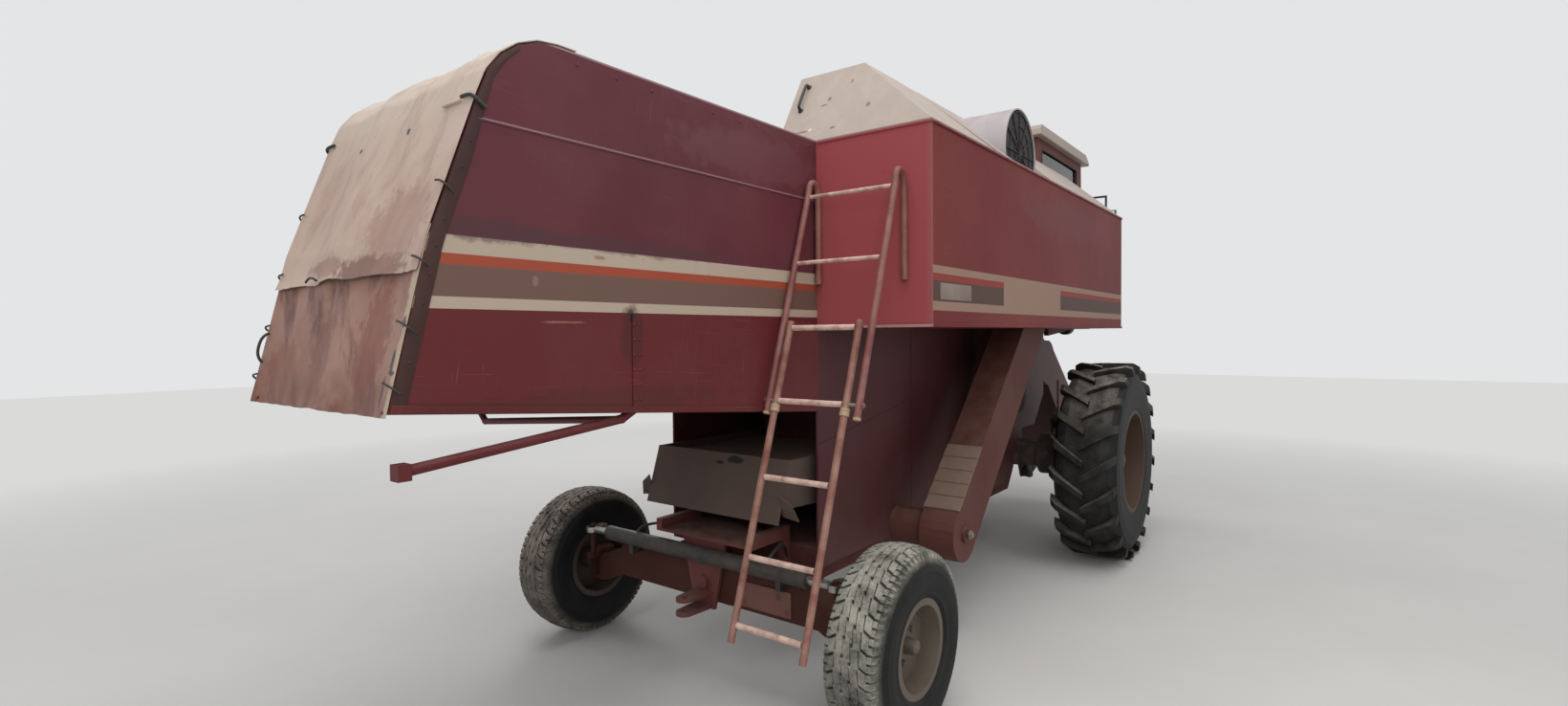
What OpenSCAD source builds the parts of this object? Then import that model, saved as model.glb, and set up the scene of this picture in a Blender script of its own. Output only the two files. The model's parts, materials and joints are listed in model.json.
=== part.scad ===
// Self-propelled combine harvester, parked without its header.
// X runs forward, Y to the machine's left and Z up, all in millimetres.
// The origin is on the ground, in the middle of the machine's length and width.

/* [Wheels] */
// Radius of the drive tyres over their lugs
front_r = 775; // [700:5:820]
// Width of the drive tyres
front_w = 467; // [400:1:520]
// Radius of the drive wheel rims at the bead seat
front_rim_r = 381; // [340:1:420]
// Height of the lugs on the drive tyres
lug_h = 38; // [25:1:45]
// Number of lugs on each half of a drive tyre
lugs = 20; // [16:1:24]
// Distance of the drive tyres' middle planes from the centre plane
front_track = 1150; // [1140:1:1250]
// Radius of the steered tyres
rear_r = 430; // [400:5:460]
// Width of the steered tyres
rear_w = 290; // [250:1:310]
// Radius of the steered wheel rims at the bead seat
rear_rim_r = 195; // [180:1:220]
// Distance of the steered tyres' middle planes from the centre plane
rear_track = 1075; // [1065:1:1110]
// Number of grooves round a steered tyre
grooves = 4; // [3:1:5]
// Depth of the grooves round a steered tyre
groove_d = 9; // [6:1:12]
// Place of the steered axle along the machine
rear_axle_x = -1550; // [-1600:5:-1530]
// Place of the drive axle along the machine
front_axle_x = 1860; // [1840:5:1880]
// Running clearance of a shaft in its hole
fit = 0.05; // [0.02:0.01:0.09]

/* [Body] */
// Thickness of sheet walls with their folds
wall = 12; // [6:1:16]
// Half the width of the threshing body and the straw hood
body_y = 525; // [510:1:540]
// Underside of the threshing body
body_floor = 600; // [590:1:620]
// Height of the joint between threshing body and upper body
deck_z = 1830; // [1820:1:1850]
// Half the width of the upper body
box_y = 1157; // [1120:1:1180]
// Top edge of the upper body and of the straw hood
top_z = 2775; // [2700:5:2850]
// Joint plane between the straw hood and the bodies
joint_x = -1350; // [-1400:5:-1300]
// Front end of the right wing beside the cab
wing_x = 2342; // [2300:1:2400]
// Front end of the grain tank behind the cab
tank_x = 1750; // [1700:5:1770]
// Inner face of the right wing beside the cab
wing_y = 690; // [680:1:720]
// Height of the flat tops of the covers
cover_z = 3200; // [3100:5:3300]
// Distance of the covers' upper edge from the centre plane
ridge_y = 673; // [640:1:680]
// Inner edge of the right cover behind the grain tank
gap_y = 270; // [240:1:300]
// Rear end of the grain tank cover
tank_rear_x = 350; // [300:5:400]

/* [Straw hood] */
// How far the curtain's hem hangs behind the hood
hem_out = 44; // [35:1:60]
// Rear lower corner of the hood, along the machine
hood_tail_x = -3456; // [-3470:1:-3400]
// Rear lower corner of the hood, height
hood_tail_z = 1586; // [1540:1:1640]
// Height of the hood's lower edge at its front end
hood_front_z = 1408; // [1380:1:1440]
// Radius of the hood's rounded rear corner
hood_corner_r = 300; // [200:5:360]
// Thickness of the hood's sheets
hood_wall = 8; // [4:1:12]
// Number of straw walkers side by side
walkers = 4; // [3:1:5]

/* [Cab] */
// Rear face of the cab
cab_x = 1786; // [1776:1:1800]
// Front foot of the cab
cab_front_x = 3050; // [3000:5:3080]
// Half the width of the cab
cab_y = 620; // [600:1:630]
// Height of the cab walls' upper edge
cab_top = 3440; // [3380:5:3460]
// Thickness of the cab walls
cab_wall = 40; // [30:1:50]
// Thickness of the roof
roof_t = 90; // [70:5:120]

/* [Feeder house] */
// Header face of the feeder house
nose_x = 3500; // [3490:5:3560]
// Place of the feeder pivot along the machine
feeder_x = 2480; // [2475:1:2490]
// Height of the feeder pivot
feeder_z = 1520; // [1510:1:1530]
// Half the width of the feeder house
feeder_y = 495; // [480:1:500]
// Height of the header face's lower edge
mouth_low = 380; // [340:5:420]
// Height of the header face's upper edge
mouth_high = 1000; // [960:5:1040]

/* [Ladders and auger] */
// Radius of ladder and rail tubes
rail_r = 16; // [14:1:17]
// Radius of the ladder rungs
rung_r = 13; // [10:1:14]
// Pitch of the rear ladder's rungs
rung_pitch = 330; // [310:5:340]
// Radius of the unloading auger tube
auger_r = 100; // [90:1:110]
// Length of the unloading auger from its turret
auger_len = 3100; // [2800:10:3140]
// Radius of the rotary screen's duct
duct_r = 265; // [240:1:280]

/* [Hidden] */
$fn = 48;

// Box between two corners
module block(x0, x1, y0, y1, z0, z1) {
    translate([x0, y0, z0]) cube([x1 - x0, y1 - y0, z1 - z0]);
}

// Profile drawn in X and Z, drawn out along Y
module side(points, y0, y1) {
    translate([0, y1, 0]) rotate([90, 0, 0])
        linear_extrude(y1 - y0) polygon(points);
}

// Profile drawn in Y and Z, drawn out along X
module across(points, x0, x1) {
    translate([x0, 0, 0]) rotate([90, 0, 90])
        linear_extrude(x1 - x0) polygon(points);
}

// Round bar along Y
module bar_y(x, z, y0, y1, r) {
    translate([x, y0, z]) rotate([-90, 0, 0]) cylinder(h = y1 - y0, r = r);
}

// Round bar between two points
module rod(a, b, r) {
    d = b - a;
    l = norm(d);
    translate(a) rotate([0, acos(d[2] / l), atan2(d[1], d[0])])
        cylinder(h = l, r = r);
}

// Bent tube through a list of points, with welded corners
module tube(points, r) {
    for (i = [1:len(points) - 1]) rod(points[i - 1], points[i], r);
    for (i = [1:1:len(points) - 2]) translate(points[i]) sphere(r * 1.06);
}

// The same thing on both sides of the machine
module both() {
    children();
    mirror([0, 1, 0]) children();
}

// Frame values
rail_y = [340, 420];
rail_low = 480;
beam_half = 80;
beam_z = [front_r - 100, front_r + 100];
saddle_z = front_r + 225;
nose_slope = [1290, 1640];
body_nose_x = 2250;
ear_y = feeder_y + 10;
pivot_r = 30;

// Threshing body outline, from its rear lower corner forwards
body_outline = [
    [joint_x, body_floor], [nose_slope[0], body_floor],
    [nose_slope[1], saddle_z], [front_axle_x + 140, saddle_z],
    [body_nose_x, 1250], [body_nose_x, deck_z], [joint_x, deck_z]
];

// Slit at the bolted joints between the rails and what they carry
frame_slit = 0.3;
cross_members = [-1150, -300, 500, 1200];
module chassis_frame() color("maroon") {
    yoke_x = 77;
    bracket_y = rail_y[0] - 40 - frame_slit;
    both() {
        block(joint_x - 50, nose_slope[1], rail_y[0], rail_y[1],
              rail_low, body_floor);
        side([[nose_slope[0], body_floor], [nose_slope[0], rail_low],
              [nose_slope[1], rail_low], [front_axle_x - beam_half, 650],
              [front_axle_x - beam_half, beam_z[1]],
              [front_axle_x + 130, beam_z[1]],
              [front_axle_x + 130, saddle_z], [nose_slope[1], saddle_z]],
             rail_y[0], rail_y[1]);
        side([[joint_x - 50, rail_low], [joint_x, rail_low],
              [joint_x, 800], [rear_axle_x - 110, 800],
              [rear_axle_x - 110, 735], [joint_x - 50, 735]],
             rail_y[0] - 40, rail_y[0]);
    }
    for (x = cross_members)
        block(x - 40, x + 40, -rail_y[0] + frame_slit, rail_y[0] - frame_slit,
              rail_low + 20, body_floor - 20);
    block(rear_axle_x - 110, joint_x, -bracket_y, bracket_y, 735, 750);
    for (x = [rear_axle_x - yoke_x - 20, rear_axle_x + yoke_x])
        across([[-150, 740], [150, 740], [70, 380], [-70, 380]],
               x, x + 20);
    // Oscillation pin of the steered axle
    translate([rear_axle_x - yoke_x - 40, 0, 515]) rotate([0, 90, 0])
        cylinder(h = 2 * yoke_x + 80, r = 35);
    // Tow hitch with its pin bores
    difference() {
        for (z = [385, 455])
            hull() {
                block(rear_axle_x - yoke_x - 21, rear_axle_x - yoke_x - 20,
                      -55, 55, z, z + 18);
                translate([rear_axle_x - 240, 0, z])
                    cylinder(h = 18, r = 45, $fn = 32);
            }
        translate([rear_axle_x - 240, 0, 300]) cylinder(h = 300, r = 16);
    }
}

module front_axle() color("dimgray") {
    difference() {
        union() {
            block(front_axle_x - beam_half, front_axle_x + beam_half,
                  -700, 700, beam_z[0], beam_z[1]);
            bar_y(front_axle_x, front_r, -170, 170, 150);
            both() {
                bar_y(front_axle_x, front_r, 640, 850, 170);
                bar_y(front_axle_x, front_r, 840, front_track + 80, 45);
                for (y = [395, 465])
                    side([[front_axle_x + beam_half - 1, 720],
                          [front_axle_x + 230, 600],
                          [front_axle_x + 230, 520],
                          [front_axle_x + 150, 520],
                          [front_axle_x + beam_half - 1, 676]],
                         y, y + 20);
            }
        }
        // Bores for the lift cylinders' foot pins
        both() bar_y(front_axle_x + 190, 560, 380, 500, 20 + fit);
    }
}

sheet_joints = [-330, 620, 1290];
module threshing_body() color("firebrick") {
    cavity_x = -500;
    difference() {
        union() {
            side(body_outline, -body_y, body_y);
            both() side([[body_nose_x - 1, 1400], [feeder_x + 70, 1440],
                  [feeder_x + 70, 1600], [body_nose_x - 1, 1750]],
                 ear_y, body_y);
        }
        // Open rear end around the walkers and sieves
        block(joint_x - 1, cavity_x, -body_y + wall, body_y - wall,
              body_floor + 100, deck_z - 50);
        // Shallow joints between the side sheets
        both() {
            for (x = sheet_joints) block(x - 3, x + 3, body_y - 3, body_y + 1,
                                         body_floor - 1, deck_z + 1);
            side([[joint_x - 1, 1240], [joint_x - 1, 1234], [-330, 1394],
                  [-330, 1400]], body_y - 3, body_y + 1);
        }
        bar_y(feeder_x, feeder_z, -body_y - 1, body_y + 1, pivot_r + fit);
    }
}

rim_out = 6;
rim_h = 16;
module upper_body() color("brown") {
    difference() {
        union() {
            block(joint_x, tank_x, -box_y, box_y, deck_z, top_z);
            block(joint_x, wing_x, -box_y, -wing_y, deck_z, top_z);
            // Turned rims at the foot and the top
            for (z = [deck_z, top_z - rim_h]) {
                block(joint_x, tank_x, -box_y - rim_out, box_y + rim_out,
                      z, z + rim_h);
                both() block(joint_x - rim_out, joint_x + 1, body_y + 8,
                             box_y + rim_out, z, z + rim_h);
                block(tank_x - 1, wing_x + rim_out, -box_y - rim_out,
                      -wing_y, z, z + rim_h);
            }
        }
        for (x = [[joint_x + wall, tank_rear_x],
                  [tank_rear_x + wall, tank_x - wall]])
            block(x[0], x[1], -box_y + wall, box_y - wall, deck_z + wall,
                  top_z + 1);
        block(tank_x - wall - 1, wing_x - wall, -box_y + wall,
              -wing_y - wall, deck_z + wall, top_z + 1);
    }
}

duct_z = top_z + 105;
duct_out = 1100;

// Covers: flat top between ridges, sloping sides, leaning rear panel
slope_run = (box_y - ridge_y) / (cover_z - top_z);
lean = 0.557;
function roof_yz(t, y_in) =
    let (k = t * sqrt(1 + slope_run * slope_run), h = cover_z - t)
    [[-box_y + k, top_z - (t > 0 ? 1 : 0)],
     [-box_y + k, top_z],
     [-box_y + k + (h - top_z) * slope_run, h],
     [y_in - t, h], [y_in - t, top_z - (t > 0 ? 1 : 0)]];
function tank_yz(t) =
    let (k = t * sqrt(1 + slope_run * slope_run), h = cover_z - t,
         y0 = box_y - k, y1 = y0 - (h - top_z) * slope_run,
         low = top_z - (t > 0 ? 1 : 0))
    [[-y0, low], [-y0, top_z], [-y1, h], [y1, h], [y0, top_z], [y0, low]];
module rear_lean(t) {
    k = t * sqrt(1 + lean * lean);
    side([[joint_x + k - 3 * lean, top_z - 3],
          [joint_x + k + lean * (cover_z + 5 - top_z), cover_z + 5],
          [wing_x + 10, cover_z + 5], [wing_x + 10, top_z - 3]],
         -box_y - 5, box_y + 5);
}

module tank_covers() color("antiquewhite") {
    difference() {
        intersection() {
            union() {
                across(roof_yz(0, -gap_y), joint_x, tank_rear_x + 1);
                across(tank_yz(0), tank_rear_x, tank_x);
                across([[-box_y, top_z], [-wing_y, top_z +
                        (box_y - wing_y) / slope_run], [-wing_y, top_z]],
                       tank_x - 1, wing_x);
            }
            rear_lean(0);
        }
        intersection() {
            union() {
                across(roof_yz(wall, -gap_y), joint_x, tank_rear_x + 2 * wall);
                across(tank_yz(wall), tank_rear_x + wall, tank_x - wall);
                across([[-box_y + 2 * wall, top_z - 1],
                        [-box_y + 2 * wall, top_z],
                        [-wing_y - wall, top_z + (box_y - wing_y
                         - 3 * wall) / slope_run],
                        [-wing_y - wall, top_z - 1]],
                       tank_x - 2 * wall, wing_x - wall);
            }
            rear_lean(wall);
        }
        bar_y(0, duct_z, -box_y, -ridge_y + 30, duct_r + 0.3);
        // Filling hatch under the lid
        block(tank_rear_x + 200, tank_x - 200, -360, 360, cover_z - 50,
              cover_z + 1);
    }
    // Hinge lugs of the lid
    difference() {
        for (x = lug_x) block(x - 15, x + 15, lid_hinge[0] - 12,
                              lid_hinge[0] + 12, cover_z - 1,
                              lid_hinge[1] + 12);
        translate([0, lid_hinge[0], lid_hinge[1]]) rotate([0, 90, 0])
            cylinder(h = tank_x, r = lid_pin_r + fit);
    }
}

// Lid over the filling hatch, hinged at its left edge
lid_x = [tank_rear_x + 150, tank_x - 150];
lid_hinge = [420, cover_z + 14];
lid_pin_r = 6;
lug_x = [lid_x[0] + 100, (lid_x[0] + lid_x[1]) / 2, lid_x[1] - 100];
module tank_lid() color("antiquewhite") {
    seat = cover_z + 0.3;
    block(lid_x[0], lid_x[1], -400, 400, seat, seat + wall);
    translate([lug_x[0] - 40, lid_hinge[0], lid_hinge[1]])
        rotate([0, 90, 0])
        cylinder(h = lug_x[2] - lug_x[0] + 80, r = lid_pin_r);
    for (x = lug_x) for (s = [-1, 1])
        block(x + s * 30 - 10, x + s * 30 + 10, 399, lid_hinge[0],
              seat + 4, seat + wall);
}

module engine_deck() color("brown") {
    block(joint_x, tank_rear_x, -gap_y, box_y, top_z, top_z + wall);
    difference() {
        block(joint_x + 100, tank_rear_x - 400, -200, 700, top_z + wall - 1,
              top_z + 110);
        for (i = [0:6])
            block(joint_x + 220 + i * 130, joint_x + 280 + i * 130, -150,
                  650, top_z + 100, top_z + 111);
    }
}

engine_len = 1000;
engine_y = [-230, 450];
module engine_block() color("dimgray")
    block(joint_x + 200, joint_x + 200 + engine_len, engine_y[0], engine_y[1],
          deck_z + wall, top_z - 75);

module exhaust_pipe() color("sienna") {
    translate([joint_x + 450, 500, top_z + 110]) cylinder(h = 190, r = 85);
    translate([joint_x + 450, 500, top_z + 299]) cylinder(h = 70, r = 35);
}

module screen_duct() color("silver") {
    difference() {
        bar_y(0, duct_z, -duct_out, -ridge_y, duct_r);
        bar_y(0, duct_z, -duct_out - 1, -ridge_y - 10, duct_r - 8);
    }
    difference() {
        union() {
            bar_y(0, duct_z, -duct_out + 100, -ridge_y - 9, 45);
            block(-duct_r + 7, duct_r - 7, -duct_out + 110,
                  -duct_out + 125, duct_z - 15, duct_z + 15);
            block(-15, 15, -duct_out + 110, -duct_out + 125,
                  duct_z - duct_r + 7, duct_z + duct_r - 7);
        }
        bar_y(0, duct_z, -duct_out + 90, -ridge_y - 60, 20 + fit);
    }
}

module rotary_screen() color("darkslategray") {
    bar_y(0, duct_z, -duct_out + 12, -duct_out + 20, duct_r - 15);
    // Ribs and hoops that carry the mesh
    for (a = [0:30:150]) translate([0, -duct_out + 4, duct_z])
        rotate([0, a, 0]) translate([-duct_r + 16, 0, -3])
        cube([2 * duct_r - 32, 9, 6]);
    for (r = [80, 165, duct_r - 22]) translate([0, -duct_out + 12, duct_z])
        rotate([90, 0, 0]) rotate_extrude() translate([r, -1])
        square([6, 7]);
    bar_y(0, duct_z, -duct_out + 19, -ridge_y - 65, 20);
}

// Hood side outline, from its rear lower corner over the round corner
corner_c = [hood_tail_x + 581, top_z - hood_corner_r];
hood_outline = concat(
    [[joint_x, top_z], [joint_x, hood_front_z], [hood_tail_x, hood_tail_z],
     [hood_tail_x + 126, hood_tail_z + 514]],
    [for (a = [165:-15:90])
        corner_c + hood_corner_r * [cos(a), sin(a)]]);

swage_z = top_z - 307;
swage_x = hood_tail_x + 280;
seam_x = joint_x - 1200;
stripe_low = 1885;
guard_end = [hood_tail_x + 46, 1415];
function hood_low(x) = hood_front_z + (joint_x - x)
    * (hood_tail_z - hood_front_z) / (joint_x - hood_tail_x);
module straw_hood() color("brown") {
    both() {
        side(hood_outline, body_y - hood_wall, body_y);
        // Inward lip along the lower edge
        side([[joint_x, hood_front_z], [joint_x, hood_front_z + 8],
              [hood_tail_x + 4, hood_tail_z + 8], [hood_tail_x, hood_tail_z]],
             body_y - 45, body_y - hood_wall + 1);
    }
    block(corner_c[0], joint_x, -body_y + 1, body_y - 1,
          top_z - hood_wall, top_z);
    // Swage line, seam strip and turned lower edge of each side
    both() {
        across([[body_y - 1, swage_z - 9], [body_y + 5, swage_z],
                [body_y - 1, swage_z + 9]], swage_x, joint_x);
        block(seam_x - 22, seam_x + 22, body_y - 1, body_y + 4,
              hood_low(seam_x) + 24, stripe_low - 5);
        side([[joint_x, hood_front_z + 2], [joint_x, hood_front_z + 26],
              [hood_tail_x + 10, hood_tail_z + 26],
              [hood_tail_x + 5, hood_tail_z + 2]], body_y - 1, body_y + 5);
    }
    // Bars that carry the curtain and stiffen the mouth
    bar_y(corner_c[0] - 180, top_z - 120, -body_y + 2, body_y - 2, 17);
    bar_y(hood_tail_x + 60, hood_tail_z + 80, -body_y + 2, body_y - 2, 17);
    // Guard tube below the right wall with its cross tube
    guard_y = body_y - hood_wall - 23;
    tube([[-2540, -guard_y, hood_tail_z], [-2540, -guard_y, 1520],
          [-2600, -guard_y, 1490],
          [guard_end[0], -guard_y, guard_end[1]]], 17);
    block(guard_end[0] - 18, guard_end[0] + 22, -guard_y - 24, -guard_y + 24,
          guard_end[1] - 24, guard_end[1] + 24);
    tube([[-2600, -guard_y, 1488], [-2600, guard_y - 60, 1420],
          [-2600, guard_y, 1480], [-2600, guard_y, 1560]], 14);
}

module rear_curtain() color("rosybrown") {
    edge = concat([[hood_tail_x, hood_tail_z],
                   [hood_tail_x + 126, hood_tail_z + 514]],
        [for (a = [165:-15:90])
            corner_c + hood_corner_r * [cos(a), sin(a)]]);
    out = concat(
        [[hood_tail_x - hem_out, hood_tail_z - 20],
         [hood_tail_x - hem_out + 12, hood_tail_z - 20]],
        [for (p = edge) p + [-0.3, 0.1]],
        [corner_c + [0, hood_corner_r + 14]],
        [for (a = [100:15:165])
            corner_c + (hood_corner_r + 14) * [cos(a), sin(a)]],
        [[hood_tail_x + 112, hood_tail_z + 518]]);
    side(out, -body_y, body_y);
}

// Straw walkers: rear and front ends, pitch of their steps
walk_x = [joint_x - 1000, joint_x + 790];
walk_step = 290;
walk_z = [1400, 1750];
module straw_walkers() color("indianred") {
    pitch = 2 * (body_y - hood_wall - 12) / walkers;
    for (i = [0:walkers - 1]) {
        y0 = -body_y + hood_wall + 12 + i * pitch;
        side(concat([[walk_x[1], walk_z[0] + 80], [walk_x[1], walk_z[0]],
                     [walk_x[0], walk_z[1] - 150]],
                    [for (s = [0:5]) let (x = walk_x[0] + s * walk_step)
                        each [[x, walk_z[1] - s * 40],
                              [x + 270, walk_z[1] - 90 - s * 40]]]),
             y0 + 6, y0 + pitch - 6);
    }
    bar_y(walk_x[1] - 140, 1425, -body_y + wall, body_y - wall, 22);
    bar_y(walk_x[0] + 450, 1560, -body_y + hood_wall, body_y - hood_wall, 22);
}

// Sieves: rear end, length of the slatted part and pitch of its slats
sieve_x = [joint_x - 165, joint_x + 730];
sieve_pitch = 60;
sieve_z = [880, 1172];
module sieve_box() color("peru") {
    half = body_y - 58;
    both() {
        side([[sieve_x[0], sieve_z[1]], [sieve_x[0] - 70, sieve_z[0] + 60],
              [sieve_x[1], sieve_z[0]], [sieve_x[1], sieve_z[1]]],
             half - 12, half);
        for (x = [joint_x + 100, sieve_x[1] - 80])
            bar_y(x, 1020, half - 1, body_y - wall, 15);
    }
    for (x = [sieve_x[0] + 45:sieve_pitch:sieve_x[1] - 60])
        side([[x, 1100], [x + 50, 1130], [x + 50, 1136], [x, 1106]],
             -half + 11, half - 11);
    side([[sieve_x[0] + 1, sieve_z[1] + 3], [sieve_x[0] - 99, sieve_z[0] - 10],
          [sieve_x[0] - 93, sieve_z[0] - 12],
          [sieve_x[0] + 7, sieve_z[1] + 1]],
         -half + 1, half - 1);
    // Flared wings at the deflector's foot
    both() translate([sieve_x[0] - 70, half - 8, 960]) rotate([0, -18, 0])
        rotate([90, 0, 90]) linear_extrude(6)
        polygon([[0, 60], [0, -60], [95, -75], [70, 10]]);
}

leg_tilt = 44;
foot = [-510, 660];
foot_r = 160;
leg_y = [-955, -745];
plates = 5;
plate_pitch = 92;
plate_from = 40;
// Where an edge of the elevator's leg meets the upper body's floor
function leg_end(s) =
    let (run = (deck_z - foot[1] - s * foot_r * cos(leg_tilt)) / sin(leg_tilt))
    foot + [run * cos(leg_tilt) - s * foot_r * sin(leg_tilt), deck_z - foot[1]];
module elevators() color("indianred") {
    side(concat([leg_end(-1), leg_end(1)],
                [for (a = [90:15:270])
                    foot + foot_r * [cos(leg_tilt + a), sin(leg_tilt + a)]]),
         leg_y[0], leg_y[1]);
    // Lapped cover plates on the leg's rear-facing side
    way = [cos(leg_tilt), sin(leg_tilt)];
    out = [-way[1], way[0]];
    at = foot + (foot_r - 5) * out + plate_from * way;
    side(concat([at], [for (i = [0:plates - 1])
                       each [at + i * plate_pitch * way + 15 * out,
                             at + (i + 1) * plate_pitch * way + 9 * out]],
                [at + plates * plate_pitch * way]),
         leg_y[0] - 4, leg_y[1] + 4);
    // Foot bearing and its bolt
    bar_y(foot[0], foot[1], leg_y[0] - 14, leg_y[0] + 1, 48);
    bar_y(foot[0], foot[1], leg_y[0] - 30, leg_y[0] - 13, 17);
    // Cross auger trough from the body to the elevator's foot
    bar_y(foot[0], foot[1], leg_y[1] - 1, -body_y, 105);
    // Returns elevator closer to the drive wheel
    intersection() {
        translate([420, -700, 640]) rotate([0, -65, 0])
            cube([1600, 140, 240]);
        block(-200, 1600, -720, -540, 640, deck_z);
    }
    block(300, 420, -700, -body_y, 640, 760);
}

// Outline of a belt or chain round two circles, in X and Z
function loop(a, b, ra, rb) =
    let (d = b - a, tilt = atan2(d[1], d[0]),
         open = acos((ra - rb) / norm(d)), n = 12)
    concat([for (i = [0:n]) let (t = tilt + open + i * (360 - 2 * open) / n)
                a + ra * [cos(t), sin(t)]],
           [for (i = [0:n]) let (t = tilt - open + i * 2 * open / n)
                b + rb * [cos(t), sin(t)]]);

// Belt drives: driving pulley, driven pulley and the near face's distance
DA = 0; DB = 1; DY = 2;
// Pulleys: place along X, height and radius
PX = 0; PZ = 1; PR = 2;
pulley_w = 40;
groove = [12, 16];
belt_gap = 0.3;
left_drives = [
    [[1400, 1350, 190], [1650, 1650, 90], body_y + 20],
    [[500, 1450, 120], [-350, 1250, 160], body_y + 20],
    [[-350, 1250, 110], [-1000, 900, 130], body_y + 75]
];
right_drives = [[[1450, 1300, 170], [1150, 1600, 90], body_y + 20]];
module pulley(p, y) {
    difference() {
        bar_y(p[PX], p[PZ], y, y + pulley_w, p[PR]);
        translate([p[PX], y + pulley_w / 2, p[PZ]]) rotate([90, 0, 0])
            rotate_extrude() translate([p[PR] - groove[1], -groove[0]])
            square([groove[1] + 1, 2 * groove[0]]);
        // Dished web
        translate([p[PX], y + pulley_w - 10, p[PZ]]) rotate([-90, 0, 0])
            rotate_extrude() translate([38, 0])
            square([max(p[PR] - groove[1] - 50, 1), 11]);
    }
    bar_y(p[PX], p[PZ], body_y, y + pulley_w + 15, 25);
}
module belt_drive(d) {
    mid = d[DY] + pulley_w / 2;
    half = groove[0] - belt_gap;
    at = [for (p = [d[DA], d[DB]]) [p[PX], p[PZ]]];
    for (p = [d[DA], d[DB]]) pulley(p, d[DY]);
    difference() {
        side(loop(at[0], at[1], d[DA][PR] - 1, d[DB][PR] - 1),
             mid - half, mid + half);
        side(loop(at[0], at[1], d[DA][PR] - groove[1] + 3,
                  d[DB][PR] - groove[1] + 3), mid - half - 1, mid + half + 1);
    }
}
module belt_drives() color("dimgray") {
    for (d = left_drives) belt_drive(d);
    mirror([0, 1, 0]) for (d = right_drives) belt_drive(d);
}

// Rear ladder: upright plane leans, its foot being further back
lad_lean = 0.33;
lad_top = 2470;
function lad_x(z) = -1460 - lad_lean * (lad_top - z);
up_y = [-1030, -550];
low_y = [-965, -592];
fold_z = lad_top - 3 * rung_pitch + 20;
stub_z = lad_top - 2 * rung_pitch + 20;
hinge_pin_r = 8;
rail_x = joint_x - rail_r - 6;
low_rungs = [stub_z, for (i = [0:2]) fold_z - i * rung_pitch, 570];
module ladder_upper() color("rosybrown") {
    for (y = up_y) {
        tube([[lad_x(fold_z - 60), y, fold_z - 60],
              [lad_x(lad_top + 60), y, lad_top + 60],
              [joint_x - 50, y, lad_top + 95],
              [rail_x, y, lad_top + 40],
              [rail_x, y, lad_top - 420]], rail_r);
        block(rail_x, joint_x, y - 10, y + 10, lad_top - 410,
              lad_top - 380);
    }
    for (i = [0, 1])
        bar_y(lad_x(lad_top - i * rung_pitch), lad_top - i * rung_pitch,
              up_y[0], up_y[1], rung_r);
    // Hinge pins of the lower section
    for (p = [[up_y[0], low_y[0] + rail_r - 2],
              [low_y[1] - rail_r + 2, up_y[1]]])
        bar_y(lad_x(fold_z), fold_z, p[0], p[1], hinge_pin_r);
}

module ladder_lower() color("rosybrown") {
    foot_z = 500;
    difference() {
        for (y = low_y) rod([lad_x(foot_z), y, foot_z],
                            [lad_x(stub_z + 30), y, stub_z + 30], rail_r);
        bar_y(lad_x(fold_z), fold_z, low_y[0] - 50, low_y[0] + rail_r - 1,
              hinge_pin_r + fit);
        bar_y(lad_x(fold_z), fold_z, low_y[1] - rail_r + 1, low_y[1] + 50,
              hinge_pin_r + fit);
    }
    for (z = low_rungs) bar_y(lad_x(z), z, low_y[0] + rail_r - 1,
                              low_y[1] - rail_r + 1, rung_r);
}

// Cab outline seen from the side
plat_front = cab_front_x + 100;
cab_outline = [
    [cab_x, deck_z + 60], [cab_front_x, deck_z + 60],
    [cab_front_x + 100, 2300], [cab_front_x + 50, cab_top],
    [cab_x, cab_top]
];
door_x = [cab_x + 414, cab_front_x - 100];
sill_z = 2500;
front_sill_z = 2150;
rear_sill_z = 2850;
rear_pane_y = 420;
door_z = [deck_z + 105, cab_top - 50];
module cab_frame() color("indianred") {
    w = cab_wall;
    difference() {
        side(cab_outline, -cab_y, cab_y);
        side([[cab_x + w, deck_z + 60 + w], [cab_front_x - w, deck_z + 60 + w],
              [cab_front_x + 100 - w, 2300], [cab_front_x + 50 - w, cab_top + 1],
              [cab_x + w, cab_top + 1]], -cab_y + w, cab_y - w);
        block(door_x[0], door_x[1], cab_y - w - 1, cab_y + 1,
              door_z[0], door_z[1]);
        block(cab_x + 120, cab_front_x - 100, -cab_y - 1, -cab_y + w + 1,
              sill_z, cab_top - 80);
        block(cab_front_x - 100, cab_front_x + 150, -cab_y + 60,
              cab_y - 60, front_sill_z, cab_top - 60);
        block(cab_x - 1, cab_x + w + 1, -rear_pane_y, rear_pane_y,
              rear_sill_z, cab_top - 80);
        block(cab_x + 90, door_x[0] - 70, cab_y - w - 1, cab_y + 1,
              sill_z, cab_top - 80);
    }
    // Door hinge pins
    for (z = hinge_z) {
        translate([hinge[0], hinge[1], z - 20])
            cylinder(h = 90, r = door_pin_r);
        translate([hinge[0], hinge[1], z - 20]) cylinder(h = 19, r = 11);
        block(hinge[0] - 40, hinge[0], cab_y - 1, cab_y + 9, z - 20, z - 1);
    }
}

module cab_roof() color("antiquewhite") {
    // Rain gutter round the roof's foot
    block(cab_x - 66, cab_front_x + 150, -cab_y - 51, cab_y + 51,
          cab_top + 6, cab_top + 22);
    side([[cab_x - 60, cab_top], [cab_front_x + 160, cab_top],
          [cab_front_x + 170, cab_top + 30], [cab_front_x + 60, cab_top + roof_t],
          [cab_x - 20, cab_top + roof_t], [cab_x - 60, cab_top + 50]],
         -cab_y - 45, cab_y + 45);
}

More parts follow.
